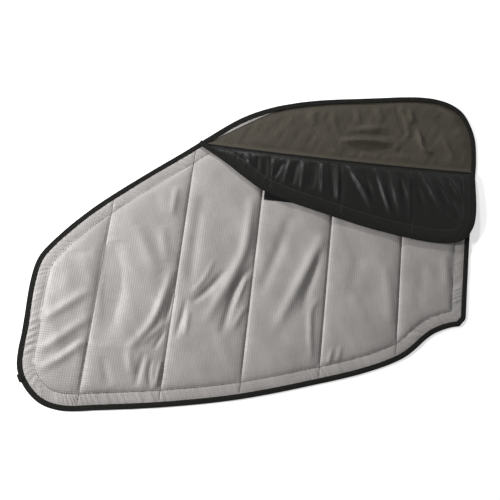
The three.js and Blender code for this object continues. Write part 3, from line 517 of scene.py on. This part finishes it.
def flap_parts(x, y):
    """As main_parts, for the flap, with the distances to its fold seam and quilt seams."""
    edge, along, _, _ = nearest(x, y, flap_edge)
    seam = flap_seam_distance(x, y)
    border = edge - FLAP_BORDER_INSET
    fold = fold_y(x) - y - FLAP_FOLD_DEPTH
    full = puff_rise(seam, FLAP_REACH, FLAP_STEP_SHARE) * puff_rise(border, FLAP_REACH)
    full = full * puff_rise(fold, FLAP_FOLD_REACH) * (border > 0)
    channel = puff_rise(-border, 9) * swell(edge - BINDING_WIDTH, 8) * puff_rise(seam, 12)
    channel *= ease(fold, 0, 10)
    channel *= border < 0
    channel *= CHANNEL_RISE + FLAP_CREASE * creases(along + 0.3 * border, 53)
    border_puckers = puckers(along, np.abs(border), 16, 9, 25)
    return full, channel, fold, seam, border_puckers


def flap_height(x, y):
    """The flap's satin side: gathers under the fold, streaks, folds and the border channel."""
    full, channel, fold, seam, border_puckers = flap_parts(x, y)
    depth = fold_y(x) - y
    gather_fade = np.exp(-depth / GATHER_FADE)
    gathers = noise(x / 7.5 + depth / 60, depth / 90, 21) + 0.6 * noise(x / 4.2, depth / 60, 22)
    streaks = noise(x / 16 - depth / 26, depth / 110, 23)
    height = flap_base(x, y) + UPPER_SEWN + full * (FLAP_PUFF + 0.7 * streaks)
    height += gathers * gather_fade * GATHER_RISE * ease(fold, 0, 12)
    height += FLAP_FOLD_STRENGTH * folds(x, y, FLAP_FOLDS) * ease(full, 0, 0.5)
    height += channel
    height += 0.6 * border_puckers * ease(full, 0, 0.4)
    height += 0.5 * puckers(depth, seam, 15, 9, 27) * ease(full, 0, 0.4)
    return kept_above(height, flap_base(x, y) + UPPER_SEWN - 0.4)


def flap_under_height(x, y):
    """The flap's silver side, lifted a little at its seams."""
    full = flap_parts(x, y)[0]
    return flap_base(x, y) + SEAM_LIFT * (1 - ease(full, 0.05, 0.6))


def mesh_height(x, y):
    """The slack screen between the taped edge and the fold."""
    edge, along, _, _ = nearest(x, y, outer_edge, True)
    above = y - fold_y(x)
    free = ease(edge, BINDING_WIDTH, BINDING_WIDTH + 25) * ease(above, 6, 26)
    slack = MESH_FOLD_STRENGTH * folds(x, y, MESH_FOLDS)
    ripple = 2 + 1.6 * noise(x / 34 + y / 60, y / 44, 31)
    ripple += 0.9 * noise(x / 12 - y / 30, y / 34, 32)
    height = MESH_TOP + free * np.maximum(slack + ripple, 0)
    height += (MESH_OVERLAP_TOP - MESH_TOP) * (1 - ease(above, 2.5, 14))
    edge_puckers = puckers(along, np.abs(edge - BINDING_WIDTH), 21, 12, 33)
    height += 0.25 * edge_puckers * ease(edge, 12, 20) * free
    return height


# Objects from grids


def to_frame(x, y, z):
    """Plan millimetres to metres in the frame."""
    return np.stack([(x - ORIGIN_X) / 1000, (y - ORIGIN_Y) / 1000, z / 1000], axis=-1)


def make_object(name, vertices, faces, material, nodes):
    """A smooth piece on the root body, which replaces the named CAD nodes."""
    mesh = bpy.data.meshes.new(name)
    mesh.from_pydata([tuple(v) for v in vertices], [], faces)
    mesh.polygons.foreach_set("use_smooth", [True] * len(mesh.polygons))
    mesh.validate()
    piece = bpy.data.objects.new(name, mesh)
    bpy.context.scene.collection.objects.link(piece)
    piece.data.materials.append(material)
    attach(piece, "root")
    if nodes:
        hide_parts(*nodes)
    return piece


def grid_faces(keep):
    """The quads of a grid whose four corners are kept, and each kept point's new number."""
    number = np.full(keep.shape, -1)
    cells = keep[:-1, :-1] & keep[1:, :-1] & keep[:-1, 1:] & keep[1:, 1:]
    used = np.zeros(keep.shape, dtype=bool)
    found = np.argwhere(cells)
    for i, j in ((0, 0), (0, 1), (1, 0), (1, 1)):
        used[found[:, 0] + i, found[:, 1] + j] = True
    number[used] = np.arange(used.sum())

    def corner(i, j):
        return number[found[:, 0] + i, found[:, 1] + j]

    faces = np.stack([corner(0, 0), corner(0, 1), corner(1, 1), corner(1, 0)], axis=1)
    return used, faces.tolist()


def sheet_over(name, x, y, keep, height, material, slot, nodes):
    """A sheet over a grid of plan points."""
    used, faces = grid_faces(keep)
    points = to_frame(x[used], y[used], height(x[used], y[used]))
    return make_object(name, points, faces, material, nodes)


def thicken(piece, thickness):
    """Gives a sheet a thickness below its surface."""
    modifier = piece.modifiers.new("thickness", "SOLIDIFY")
    modifier.thickness = thickness
    modifier.offset = -1


def main_grid(cell):
    """A grid over the main panel: columns crowd at the quilt seams, rows follow the fold."""
    turns = np.arange(-1, LAST_SEAM + 1.2, cell / QUILT_PITCH)
    xs = QUILT_PITCH * (turns - CROWDING * np.sin(2 * np.pi * turns) / (2 * np.pi))
    depths = np.arange(FOLD_TAPE_WIDTH / 2, 700, cell * 0.8)
    x, depth = np.meshgrid(xs, depths)
    y = fold_y(x) - depth
    levels = (BINDING_WIDTH, BORDER_INSET - GROOVE, BORDER_INSET, BORDER_INSET + GROOVE)
    x_snapped, y_snapped = snapped(x, y, outer_edge, True, levels, GROOVE / 2)
    inner = inside(x, y, outer_edge)
    edge = nearest(x_snapped, y_snapped, outer_edge, True)[0]
    return x_snapped, y_snapped, inner & (edge > FABRIC_RIM)


def flap_grid(cell):
    """A grid over the flap, with columns on its leaning seams."""
    xs = np.arange(FOLD_LEFT[0] - FOLD_LEFT[0] % cell - 4 * cell, FOLD_RIGHT[0] + cell, cell)
    depths = np.arange(FOLD_TAPE_WIDTH / 2 + 1, 220, cell)
    lean, depth = np.meshgrid(xs, depths)
    x = lean + FLAP_SEAM_SHIFT + FLAP_SEAM_SLOPE * (depth + QUILT_PITCH)
    y = fold_y(x) - depth
    seam = FLAP_BORDER_INSET
    levels = (BINDING_WIDTH, seam - GROOVE, seam, seam + GROOVE)
    closed_edge = np.vstack([flap_edge, flap_edge[:1]])
    x_snapped, y_snapped = snapped(x, y, flap_edge, False, levels, GROOVE / 2)
    inner = inside(x, y, closed_edge)
    edge = nearest(x_snapped, y_snapped, flap_edge)[0]
    return x_snapped, y_snapped, inner & (edge > FABRIC_RIM)


def mesh_grid(cell):
    """A grid over the screen, from under the fold tape to under the taped edge."""
    xs = np.arange(FOLD_LEFT[0] - 10, FOLD_RIGHT[0] + 10, cell)
    rises = np.arange(-5, 220, cell)
    x, above = np.meshgrid(xs, rises)
    y = fold_y(x) + above
    edge = nearest(x, y, outer_edge, True)[0]
    return x, y, inside(x, y, outer_edge) & (edge > FABRIC_RIM)


def swept(name, line, inward, section, base, closed, material, nodes, wave=0):
    """A closed section carried along a line. The section's points are inset and height."""
    section = np.asarray(section, dtype=float)
    count = len(line)
    inset, rise = section[:, 0], section[:, 1]
    x = line[:, 0][:, None] + inward[:, 0][:, None] * inset
    y = line[:, 1][:, None] + inward[:, 1][:, None] * inset
    along = np.arange(count)[:, None] * TAPE_STEP
    ripple = wave * noise(along / 28, along * 0, 41) * (rise > BINDING_MIDDLE)
    z = base(x, y) + rise + ripple
    vertices = to_frame(x, y, z).reshape(-1, 3)
    size = len(section)
    faces = []
    for i in range(count if closed else count - 1):
        here, after = i * size, ((i + 1) % count) * size
        for k in range(size):
            l = (k + 1) % size
            faces.append((here + k, here + l, after + l, after + k))
    if not closed:
        faces.append(tuple(reversed(range(size))))
        faces.append(tuple(range((count - 1) * size, count * size)))
    return make_object(name, vertices, faces, material, nodes)


def folded_section(extra=0):
    """A tape folded round an edge: a rounded nose, two flat sides and a thin inner edge."""
    low, high = BINDING_LOW - extra, BINDING_HIGH + extra
    middle, half = (low + high) / 2, (high - low) / 2
    nose = []
    for k in range(9):
        angle = math.pi * (0.5 + k / 8)
        nose.append((1.5 + 1.5 * math.cos(angle) - extra, middle + half * math.sin(angle)))
    outer = [(BINDING_WIDTH, high - 0.25), (BINDING_WIDTH - 0.5, high)]
    outer += [(9, high), (5, high), *nose, (5, low), (9, low)]
    inner = [(BINDING_WIDTH, low), (BINDING_WIDTH, low + TAPE_THICKNESS), (3, low + TAPE_THICKNESS)]
    inner += [(3, high - TAPE_THICKNESS), (BINDING_WIDTH, high - TAPE_THICKNESS)]
    return outer + inner


# Threads


def stitched(name, runs, pitch, length, radius, material):
    """Rows of short stitches. A run is a line of points in frame metres."""
    vertices, faces = [], []
    sides = 6
    for run in runs:
        points = resampled(np.asarray(run), pitch / 1000, False)
        for p, q in zip(points[:-1], points[1:]):
            middle = Vector((p + q) / 2)
            along = Vector(q - p).normalized()
            side = along.cross(Vector((0, 0, 1))).normalized()
            up = side.cross(along)
            first = len(vertices)
            half = length / 2000
            r = radius / 1000
            vertices.append(middle - along * half - up * r)
            for at in (-0.55, 0.55):
                for k in range(sides):
                    angle = 2 * math.pi * k / sides
                    around = side * math.cos(angle) + up * math.sin(angle)
                    vertices.append(middle + along * half * at + around * r)
            vertices.append(middle + along * half - up * r)
            near, far = first + 1, first + 1 + sides
            for k in range(sides):
                l = (k + 1) % sides
                faces.append((first, near + l, near + k))
                faces.append((near + k, near + l, far + l, far + k))
                faces.append((far + k, far + l, far + sides))
    return make_object(name, vertices, faces, material, ())


# Materials


class Shader:
    """A principled material with short calls to add nodes to it."""

    def __init__(self, name, colour, roughness, metallic=0.0, specular=0.5):
        self.material = bpy.data.materials.new(name)
        self.material.use_nodes = True
        self.nodes = self.material.node_tree.nodes
        self.links = self.material.node_tree.links
        self.surface = self.nodes["Principled BSDF"]
        self.surface.inputs["Base Color"].default_value = (*colour, 1)
        self.surface.inputs["Roughness"].default_value = roughness
        self.surface.inputs["Metallic"].default_value = metallic
        self.surface.inputs["Specular IOR Level"].default_value = specular
        self.surface.inputs["IOR"].default_value = 1.45
        self.place = self.nodes.new("ShaderNodeTexCoord").outputs["Object"]
        self.normal = None

    def math(self, operation, a, b=0.0):
        node = self.nodes.new("ShaderNodeMath")
        node.operation = operation
        for socket, value in zip(node.inputs, (a, b)):
            self.feed(socket, value)
        return node.outputs[0]

    def feed(self, socket, value):
        if isinstance(value, (int, float)):
            socket.default_value = value
        else:
            self.links.new(value, socket)

    def stretched(self, scale, turn=0.0):
        node = self.nodes.new("ShaderNodeMapping")
        node.inputs["Scale"].default_value = scale
        node.inputs["Rotation"].default_value = (0, 0, turn)
        self.links.new(self.place, node.inputs["Vector"])
        return node.outputs[0]

    def axes(self, vector):
        node = self.nodes.new("ShaderNodeSeparateXYZ")
        self.links.new(vector, node.inputs[0])
        return node.outputs

    def noise(self, vector, scale, detail=2.0):
        node = self.nodes.new("ShaderNodeTexNoise")
        node.inputs["Scale"].default_value = scale
        node.inputs["Detail"].default_value = detail
        self.links.new(vector, node.inputs["Vector"])
        return node.outputs["Fac"]

    def wave(self, value, pitch):
        """A sine of a coordinate in metres, from -1 to 1."""
        return self.math("SINE", self.math("MULTIPLY", value, 2 * math.pi / pitch))

    def ranged(self, value, low, high, from_low=0.0, from_high=1.0):
        node = self.nodes.new("ShaderNodeMapRange")
        self.links.new(value, node.inputs["Value"])
        node.inputs["From Min"].default_value = from_low
        node.inputs["From Max"].default_value = from_high
        node.inputs["To Min"].default_value = low
        node.inputs["To Max"].default_value = high
        return node.outputs[0]

    def tinted(self, value, low, high):
        """The base colour runs between two colours."""
        node = self.nodes.new("ShaderNodeMix")
        node.data_type = "RGBA"
        self.links.new(value, node.inputs["Factor"])
        node.inputs[6].default_value = (*low, 1)
        node.inputs[7].default_value = (*high, 1)
        self.links.new(node.outputs[2], self.surface.inputs["Base Color"])

    def bump(self, value, distance, strength=1.0):
        node = self.nodes.new("ShaderNodeBump")
        node.inputs["Strength"].default_value = strength
        node.inputs["Distance"].default_value = distance
        self.links.new(value, node.inputs["Height"])
        if self.normal:
            self.links.new(self.normal, node.inputs["Normal"])
        self.normal = node.outputs[0]
        self.links.new(self.normal, self.surface.inputs["Normal"])

    def roughened(self, value, low, high):
        self.links.new(self.ranged(value, low, high), self.surface.inputs["Roughness"])


def silver_fabric():
    """Metallised fabric, embossed with a fine diamond lattice; the lattice is also painted into the
    colour as shade in its hollows and highlight on its tops.
    """
    shader = Shader("silver_fabric", (0.4, 0.39, 0.375), 0.5, metallic=0.1, specular=0.3)
    x, y, _ = shader.axes(shader.place)
    lattice = shader.math(
        "MULTIPLY",
        shader.wave(shader.math("ADD", x, y), 0.0105),
        shader.wave(shader.math("SUBTRACT", x, y), 0.0105),
    )
    weave = shader.math("MULTIPLY", shader.wave(x, 0.0011), shader.wave(y, 0.0011))
    # Painted shade and highlight of the emboss: the colour darkens in the lattice's hollows and
    # lightens on its tops, over a random cloudy tone.
    emboss_shade_dots = shader.math("MULTIPLY", lattice, 0.1)
    cloudy_tone_and_emboss_shade = shader.math("ADD", shader.noise(shader.place, 14, 4), emboss_shade_dots)
    share = shader.ranged(cloudy_tone_and_emboss_shade, 0, 1, 0.25, 0.75)
    shader.tinted(share, (0.325, 0.308, 0.297), (0.425, 0.405, 0.393))
    shader.roughened(shader.noise(shader.place, 60, 3), 0.46, 0.6)
    shader.bump(shader.noise(shader.stretched((1, 0.6, 1), 0.5), 55, 3), 0.0012, 0.35)
    shader.bump(lattice, 0.0003, 0.5)
    shader.bump(weave, 0.00004, 0.5)
    return shader.material


def black_satin():
    """Satin lining: a smooth dark weave with fine creases."""
    shader = Shader("black_satin", (0.005, 0.005, 0.0045), 0.45, specular=0.2)
    x, y, _ = shader.axes(shader.place)
    twill = shader.wave(shader.math("ADD", x, shader.math("MULTIPLY", y, 0.5)), 0.0009)
    shader.tinted(shader.noise(shader.place, 25, 3), (0.002, 0.002, 0.0018), (0.006, 0.006, 0.0052))
    shader.roughened(shader.noise(shader.stretched((1, 0.3, 1)), 45, 3), 0.32, 0.44)
    shader.bump(shader.noise(shader.stretched((1, 0.28, 1), 0.15), 75, 3), 0.0016, 0.4)
    shader.bump(twill, 0.00005, 0.6)
    return shader.material


def black_tape():
    """Woven edging tape with fine ribs."""
    shader = Shader("black_tape", (0.01, 0.01, 0.009), 0.75, specular=0.12)
    x, y, _ = shader.axes(shader.place)
    ribs = shader.math(
        "MULTIPLY",
        shader.wave(shader.math("ADD", x, y), 0.0016),
        shader.wave(shader.math("SUBTRACT", x, y), 0.0011),
    )
    shader.tinted(shader.noise(shader.place, 90, 3), (0.008, 0.008, 0.007), (0.016, 0.0155, 0.0145))
    shader.bump(shader.noise(shader.place, 160, 2), 0.0006, 0.3)
    shader.bump(ribs, 0.00018, 0.8)
    return shader.material


def screen_mesh():
    """Fine dark netting: threads both ways, with a light rib."""
    shader = Shader("screen_mesh", (0.045, 0.04, 0.031), 0.62, specular=0.25)
    x, y, _ = shader.axes(shader.stretched((1, 1, 1), 0.1))
    threads = shader.math("MULTIPLY", shader.wave(x, 0.0014), shader.wave(y, 0.0014))
    rib = shader.wave(x, 0.0062)
    faint_threads = shader.math("MULTIPLY", threads, 0.35)
    pattern = shader.math("ADD", faint_threads, shader.math("MULTIPLY", rib, 0.15))
    share = shader.ranged(pattern, 0, 1, -0.5, 0.5)
    shader.tinted(share, (0.038, 0.033, 0.0245), (0.086, 0.076, 0.057))
    shader.roughened(shader.noise(shader.place, 40, 2), 0.5, 0.68)
    shader.bump(shader.noise(shader.stretched((1, 0.4, 1)), 70, 3), 0.0012, 0.35)
    shader.bump(threads, 0.0002, 0.6)
    return shader.material


def fastener_tape(name, hooked):
    """Hook and loop tape: a dull pile of small tufts."""
    shader = Shader(name, (0.006, 0.006, 0.006), 0.95, specular=0.2)
    pile = shader.noise(shader.place, 900 if hooked else 420, 3)
    shader.tinted(pile, (0.003, 0.003, 0.003), (0.012, 0.012, 0.012))
    shader.bump(pile, 0.0008, 0.8)
    return shader.material


def thread(name, low, high):
    """Sewing thread with a twist."""
    shader = Shader(name, low, 0.6, specular=0.4)
    x, y, _ = shader.axes(shader.place)
    twist = shader.wave(shader.math("ADD", x, y), 0.0008)
    shader.tinted(shader.ranged(twist, 0, 1, -1, 1), low, high)
    shader.bump(twist, 0.0001, 0.5)
    return shader.material


def padding():
    """Fibre padding, hidden between the fabrics."""
    shader = Shader("padding_fibre", (0.78, 0.77, 0.74), 0.95, specular=0.2)
    fibres = shader.noise(shader.stretched((1, 1, 3)), 260, 5)
    shader.tinted(fibres, (0.7, 0.69, 0.66), (0.86, 0.85, 0.82))
    shader.bump(fibres, 0.001, 0.6)
    return shader.material


def magnet_steel():
    """Nickel-plated magnet."""
    shader = Shader("magnet_steel", (0.52, 0.52, 0.51), 0.3, metallic=0.95)
    grain = shader.noise(shader.place, 800, 2)
    shader.tinted(grain, (0.48, 0.48, 0.47), (0.56, 0.56, 0.55))
    shader.roughened(grain, 0.24, 0.38)
    shader.bump(grain, 0.00005, 0.4)
    return shader.material


# Pieces

silver = silver_fabric()
satin = black_satin()
tape = black_tape()


def main_panel():
    """The two cloths of the main panel."""
    grid = main_grid(CELL)
    sheet_over("silver_face", *grid, face_height, silver, "silver_fabric", ("main_face",))
    grid = main_grid(COARSE_CELL)
    sheet_over("back_lining", *grid, lining_height, satin, "black_satin", ("main_lining",))


def flap():
    """The two cloths of the flap, satin up."""
    grid = flap_grid(FLAP_CELL)
    sheet_over("flap_satin_side", *grid, flap_height, satin, "black_satin", ("flap_lining",))
    grid = flap_grid(COARSE_CELL)
    sheet_over("flap_silver_side", *grid, flap_under_height, silver, "silver_fabric", ("flap_face",))


def screen():
    """The mesh above the fold."""
    grid = mesh_grid(MESH_CELL)
    netting = screen_mesh()
    piece = sheet_over("screen", *grid, mesh_height, netting, "screen_mesh", ("mesh_screen",))
    thicken(piece, THIN_CLOTH)


def bindings():
    """The tape round the whole cover with its overlapped end, and the tape round the flap."""
    line = resampled(outer_edge, TAPE_STEP, True)
    inward = inward_normals(line, True)
    section = folded_section()
    nodes = ("edge_binding",)
    swept("outer_tape", line, inward, section, flat, True, tape, nodes, 0.35)
    near = np.argmin(np.hypot(line[:, 0] - TAPE_END[0], line[:, 1] - TAPE_END[1]))
    lap = np.arange(near - TAPE_END_SIDE, near + TAPE_END_SIDE + 1)
    section = [(inset - TAPE_END_SHIFT, rise) for inset, rise in folded_section(0.25)]
    swept("tape_end", line[lap], inward[lap], section, flat, False, tape, ())
    line = resampled(flap_edge, TAPE_STEP, False)
    inward = inward_normals(line, False)
    section = folded_section()
    nodes = ("flap_binding",)
    swept("flap_tape", line, inward, section, flap_base, False, tape, nodes, 0.4)


def camera():
    """The camera at the photograph's viewing angle."""
    elevation, azimuth, roll = (math.radians(angle) for angle in CAMERA_ANGLES)
    target = Vector(((CAMERA_TARGET_X - ORIGIN_X) / 1000, -ORIGIN_Y / 1000, 0))
    back = Vector(
        (
            math.sin(azimuth) * math.cos(elevation),
            -math.cos(azimuth) * math.cos(elevation),
            math.sin(elevation),
        )
    )
    right = (-back).cross(Vector((0, 0, 1))).normalized()
    down = (-back).cross(right)
    image_right = math.cos(roll) * right + math.sin(roll) * down
    image_down = -math.sin(roll) * right + math.cos(roll) * down
    data = bpy.data.cameras.new("camera")
    data.sensor_width = SENSOR
    data.lens = LENS
    piece = bpy.data.objects.new("camera", data)
    axes = Matrix((image_right, -image_down, back)).transposed().to_4x4()
    piece.matrix_world = Matrix.Translation(target + back * CAMERA_DISTANCE) @ axes
    bpy.context.scene.collection.objects.link(piece)
    bpy.context.scene.camera = piece


def area_lamp(name, place, size, power):
    """A round lamp aimed at the middle of the cover."""
    data = bpy.data.lights.new(name, "AREA")
    data.shape = "DISK"
    data.size = size
    data.energy = power
    lamp = bpy.data.objects.new(name, data)
    lamp.location = place
    lamp.rotation_euler = (-Vector(place)).to_track_quat("-Z", "Y").to_euler()
    bpy.context.scene.collection.objects.link(lamp)


def seen_by_camera(nodes, links):
    """One for rays from the camera, from mirrors and through glass, nought for the light itself."""
    path = nodes.new("ShaderNodeLightPath")
    seen = path.outputs["Is Camera Ray"]
    for name in ("Is Glossy Ray", "Is Transmission Ray"):
        either = nodes.new("ShaderNodeMath")
        either.operation = "MAXIMUM"
        links.new(seen, either.inputs[0])
        links.new(path.outputs[name], either.inputs[1])
        seen = either.outputs[0]
    return seen


def floor():
    """A white floor that keeps the shadow."""
    mesh = bpy.data.meshes.new("floor")
    sides = ((-1, -1), (1, -1), (1, 1), (-1, 1))
    corners = [(a * FLOOR_REACH, b * FLOOR_REACH, FLOOR_LEVEL) for a, b in sides]
    mesh.from_pydata(corners, [], [(0, 1, 2, 3)])
    ground = bpy.data.objects.new("floor", mesh)
    bpy.context.scene.collection.objects.link(ground)
    material = bpy.data.materials.new("floor")
    material.use_nodes = True
    nodes, links = material.node_tree.nodes, material.node_tree.links
    surface = nodes["Principled BSDF"]
    surface.inputs["Base Color"].default_value = (0.9, 0.9, 0.9, 1)
    surface.inputs["Roughness"].default_value = 0.9
    surface.inputs["Specular IOR Level"].default_value = 0.1
    surface.inputs["Emission Color"].default_value = (1, 1, 1, 1)
    glow = nodes.new("ShaderNodeMath")
    glow.operation = "MULTIPLY"
    glow.inputs[1].default_value = FLOOR_GLOW
    links.new(seen_by_camera(nodes, links), glow.inputs[0])
    links.new(glow.outputs[0], surface.inputs["Emission Strength"])
    mesh.materials.append(material)


def surround():
    """White where it is seen, and a weak light from all sides."""
    world = bpy.data.worlds.new("surround")
    bpy.context.scene.world = world
    world.use_nodes = True
    nodes, links = world.node_tree.nodes, world.node_tree.links
    strength = nodes.new("ShaderNodeMapRange")
    strength.inputs["To Min"].default_value = SURROUND_LIGHT
    strength.inputs["To Max"].default_value = 1.0
    links.new(seen_by_camera(nodes, links), strength.inputs["Value"])
    nodes["Background"].inputs["Color"].default_value = (1, 1, 1, 1)
    links.new(strength.outputs[0], nodes["Background"].inputs["Strength"])


def lamps():
    """A large soft lamp at the left and a smaller one beyond the screen."""
    area_lamp("key", (-2.1, 0.05, 1.2), 0.4, 60)
    area_lamp("upper", (-0.7, 2.0, 1.05), 0.2, 28)


def lowest(surface, x, y):
    """The lowest height of a surface close to each point."""
    steps = (-PADDING_REACH, 0, PADDING_REACH)
    return np.minimum.reduce([surface(x + dx, y + dy) for dx in steps for dy in steps])


def walls_between(faces, count):
    """The faces that close the gap between a sheet and its copy, along the sheet's rim."""
    edges = {(a, b) for face in faces for a, b in zip(face, face[1:] + face[:1])}
    rims = [(a, b) for face in faces for a, b in zip(face, face[1:] + face[:1])]
    return [(a, a + count, b + count, b) for a, b in rims if (b, a) not in edges]


def filling(name, grid, keep_off, surfaces, material, node):
    """A padding between two surfaces, a little inside the fabrics, so that nothing of it shows."""
    upper, lower = surfaces
    x, y, keep = grid(PADDING_CELL)
    used, faces = grid_faces(keep & (keep_off(x, y) > PADDING_MARGIN))
    low = lower(x[used], y[used]) + LINING_GAP
    high = np.maximum(lowest(upper, x[used], y[used]) - PADDING_GAP, low + THINNEST)
    top = to_frame(x[used], y[used], high)
    bottom = to_frame(x[used], y[used], low)
    count = len(top)
    under = [tuple(count + k for k in reversed(face)) for face in faces]
    points = np.vstack([top, bottom])
    sides = walls_between(faces, count)
    piece = make_object(name, points, faces + under + sides, material, (node,))


def hidden_padding():
    """The padding of both quilts, within their border seams."""

    def in_main(x, y):
        return nearest(x, y, outer_edge, True)[0] - BORDER_INSET

    def in_flap(x, y):
        return nearest(x, y, flap_edge, False)[0] - FLAP_BORDER_INSET

    fibre = padding()
    surfaces = (face_height, lining_height)
    filling("main_padding", main_grid, in_main, surfaces, fibre, "main_wadding")
    surfaces = (flap_height, flap_under_height)
    filling("flap_padding", flap_grid, in_flap, surfaces, fibre, "flap_wadding")


def strip(name, corner, size, surface, lift, node, hooked):
    """A flat strip of fastener tape that follows a surface."""
    xs = np.linspace(corner[0], corner[0] + size[0], int(size[0] / STRIP_CELL) + 1)
    ys = np.linspace(corner[1], corner[1] + size[1], int(size[1] / STRIP_CELL) + 1)
    x, y = np.meshgrid(xs, ys)
    rim = np.minimum.reduce([x - xs[0], xs[-1] - x, y - ys[0], ys[-1] - y]).ravel()

    def height(px, py):
        return surface(px, py) + lift + STRIP_ROUND * ease(rim, 0, STRIP_CELL)

    keep = np.ones(x.shape, dtype=bool)
    material = fastener_tape(name + "_pile", hooked)
    piece = sheet_over(name, x, y, keep, height, material, "fastener_tape", (node,))
    thicken(piece, STRIP_THICKNESS)


def strips():
    """The loop strip on the silver face and the hook strip under the flap."""
    corner, size = LOOP_STRIP_CORNER, LOOP_STRIP_SIZE
    strip("loop_tape", corner, size, face_height, LOOP_STRIP_LIFT, "loop_strip", False)
    corner, size = HOOK_STRIP_CORNER, HOOK_STRIP_SIZE
    strip("hook_tape", corner, size, flap_under_height, HOOK_STRIP_LIFT, "hook_strip", True)


def facing():
    """The silver strip between mesh and tape: widest in its middle, pointed at both ends."""
    line = resampled(outer_edge, TAPE_STEP, True)
    inward = inward_normals(line, True)
    chosen = (line[:, 0] > FACING_FROM) & (line[:, 0] < FACING_TO)
    chosen &= line[:, 1] > fold_y(line[:, 0])
    line, inward = line[chosen][:, None], inward[chosen][:, None]
    along = np.linspace(0, 1, len(line))[:, None]
    across = np.linspace(0, 1, 8)
    reach = BINDING_WIDTH + FACING_WIDTH * np.sin(np.pi * along)
    inset = (FABRIC_RIM + (reach - FABRIC_RIM) * across)[..., None]
    points = line + inward * inset
    x, y = points[..., 0], points[..., 1]

    def height(px, py):
        return mesh_height(px, py) + FACING_LIFT

    keep = np.ones(x.shape, dtype=bool)
    nodes = ("mesh_facing",)
    piece = sheet_over("silver_facing", x, y, keep, height, silver, "silver_fabric", nodes)
    thicken(piece, THIN_CLOTH)


def fold_line():
    """The narrow tape along the fold."""
    x = np.linspace(FOLD_LEFT[0] + 12, FOLD_RIGHT[0] - 2, 49)
    line = resampled(np.stack([x, fold_y(x)], axis=1), TAPE_STEP, False)
    inward = inward_normals(line, False)
    half = FOLD_TAPE_WIDTH / 2
    shoulder = FOLD_TAPE_TOP - FOLD_TAPE_ROUND
    section = [(-half, FLAP_LOW)]
    for k in range(9):
        angle = math.pi * (1 - k / 8)
        section.append((half * math.cos(angle), shoulder + FOLD_TAPE_ROUND * math.sin(angle)))
    section.append((half, FLAP_LOW))
    section.reverse()
    nodes = ("fold_tape",)
    swept("fold_line_tape", line, inward, section, flat, False, tape, nodes, 0.2)


def on(surface, points, lift):
    """Plan points laid a little above a surface, in the frame."""
    x, y = points[:, 0], points[:, 1]
    return to_frame(x, y, surface(x, y) + lift)


def stretches(points, keep):
    """The unbroken stretches of a line that are kept."""
    runs, run = [], []
    for point, kept in zip(points, keep):
        if kept:
            run.append(point)
        elif run:
            runs.append(np.array(run))
            run = []
    if run:
        runs.append(np.array(run))
    return [r for r in runs if len(r) > 3]


def main_seams(outer, outer_in):
    """The quilt seams and the border seam of the main panel."""
    runs = []
    y = np.arange(-420, 270, TAPE_STEP)
    for k in range(LAST_SEAM + 1):
        x = np.full(y.shape, float(k * QUILT_PITCH))
        edge = nearest(x, y, outer_edge, True)[0]
        keep = inside(x, y, outer_edge) & (edge > BINDING_WIDTH) & (fold_y(x) - y > 4)
        runs += stretches(np.stack([x, y], axis=1), keep)
    start = int(np.argmax(outer[:, 1] - fold_y(outer[:, 0])))
    ring = np.roll(outer, -start, axis=0) + np.roll(outer_in, -start, axis=0) * BORDER_INSET
    edge = nearest(ring[:, 0], ring[:, 1], outer_edge, True)[0]
    keep = (edge > BORDER_INSET - CORNER_SLACK)
    keep &= fold_y(ring[:, 0]) - ring[:, 1] > FOLD_SEAM_INSET
    return runs + stretches(ring, keep)


def flap_seams(line, inward):
    """The leaning seams and the border seam of the flap."""
    runs = []
    depth = np.arange(6, 230, TAPE_STEP)
    for k in FLAP_SEAMS:
        x = k * QUILT_PITCH + FLAP_SEAM_SHIFT + FLAP_SEAM_SLOPE * (depth + QUILT_PITCH)
        y = fold_y(x) - depth
        edge = nearest(x, y, flap_edge)[0]
        keep = inside(x, y, flap_edge) & (edge > BINDING_WIDTH)
        runs += stretches(np.stack([x, y], axis=1), keep)
    ring = line + inward * FLAP_BORDER_INSET
    edge = nearest(ring[:, 0], ring[:, 1], flap_edge)[0]
    keep = (edge > FLAP_BORDER_INSET - CORNER_SLACK)
    keep &= fold_y(ring[:, 0]) - ring[:, 1] > FLAP_FOLD_DEPTH
    return runs + stretches(ring, keep)


def stitching():
    """Rows of stitches: quilt seams, border seams and the rows that hold the tapes."""
    outer = resampled(outer_edge, TAPE_STEP, True)
    outer_in = inward_normals(outer, True)
    flap_line = resampled(flap_edge, TAPE_STEP, False)
    flap_in = inward_normals(flap_line, False)

    dark = thread("dark_thread", (0.012, 0.012, 0.012), (0.03, 0.03, 0.03))
    seams = main_seams(outer, outer_in)
    runs = [on(face_height, seam, QUILT_STITCH_LIFT) for seam in seams]
    stitched("quilt_stitches", runs, 4.4, 3.9, 0.55, dark)

    grey = thread("grey_thread", (0.05, 0.05, 0.045), (0.09, 0.09, 0.08))
    seams = flap_seams(flap_line, flap_in)
    runs = [on(flap_height, seam, STITCH_LIFT) for seam in seams]
    stitched("flap_stitches", runs, 5, 3.6, 0.4, grey)

    inset = BINDING_WIDTH - TAPE_STITCH_INSET
    lift = BINDING_HIGH + TAPE_STITCH_LIFT
    ring = outer + outer_in * inset
    runs = [on(flat, np.vstack([ring, ring[:1]]), lift)]
    runs.append(on(flap_base, flap_line + flap_in * inset, lift))
    stitched("tape_stitches", runs, 4.5, 3, 0.3, dark)


def magnets():
    """The magnets keep their CAD form and get a metal surface."""
    steel = magnet_steel()
    for name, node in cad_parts.items():
        if "magnet" in name:
            node.material_slots[0].material = steel


bpy.context.scene.view_settings.view_transform = "Standard"
main_panel()
flap()
screen()
bindings()
camera()
floor()
surround()
lamps()
hidden_padding()
strips()
facing()
fold_line()
stitching()
magnets()
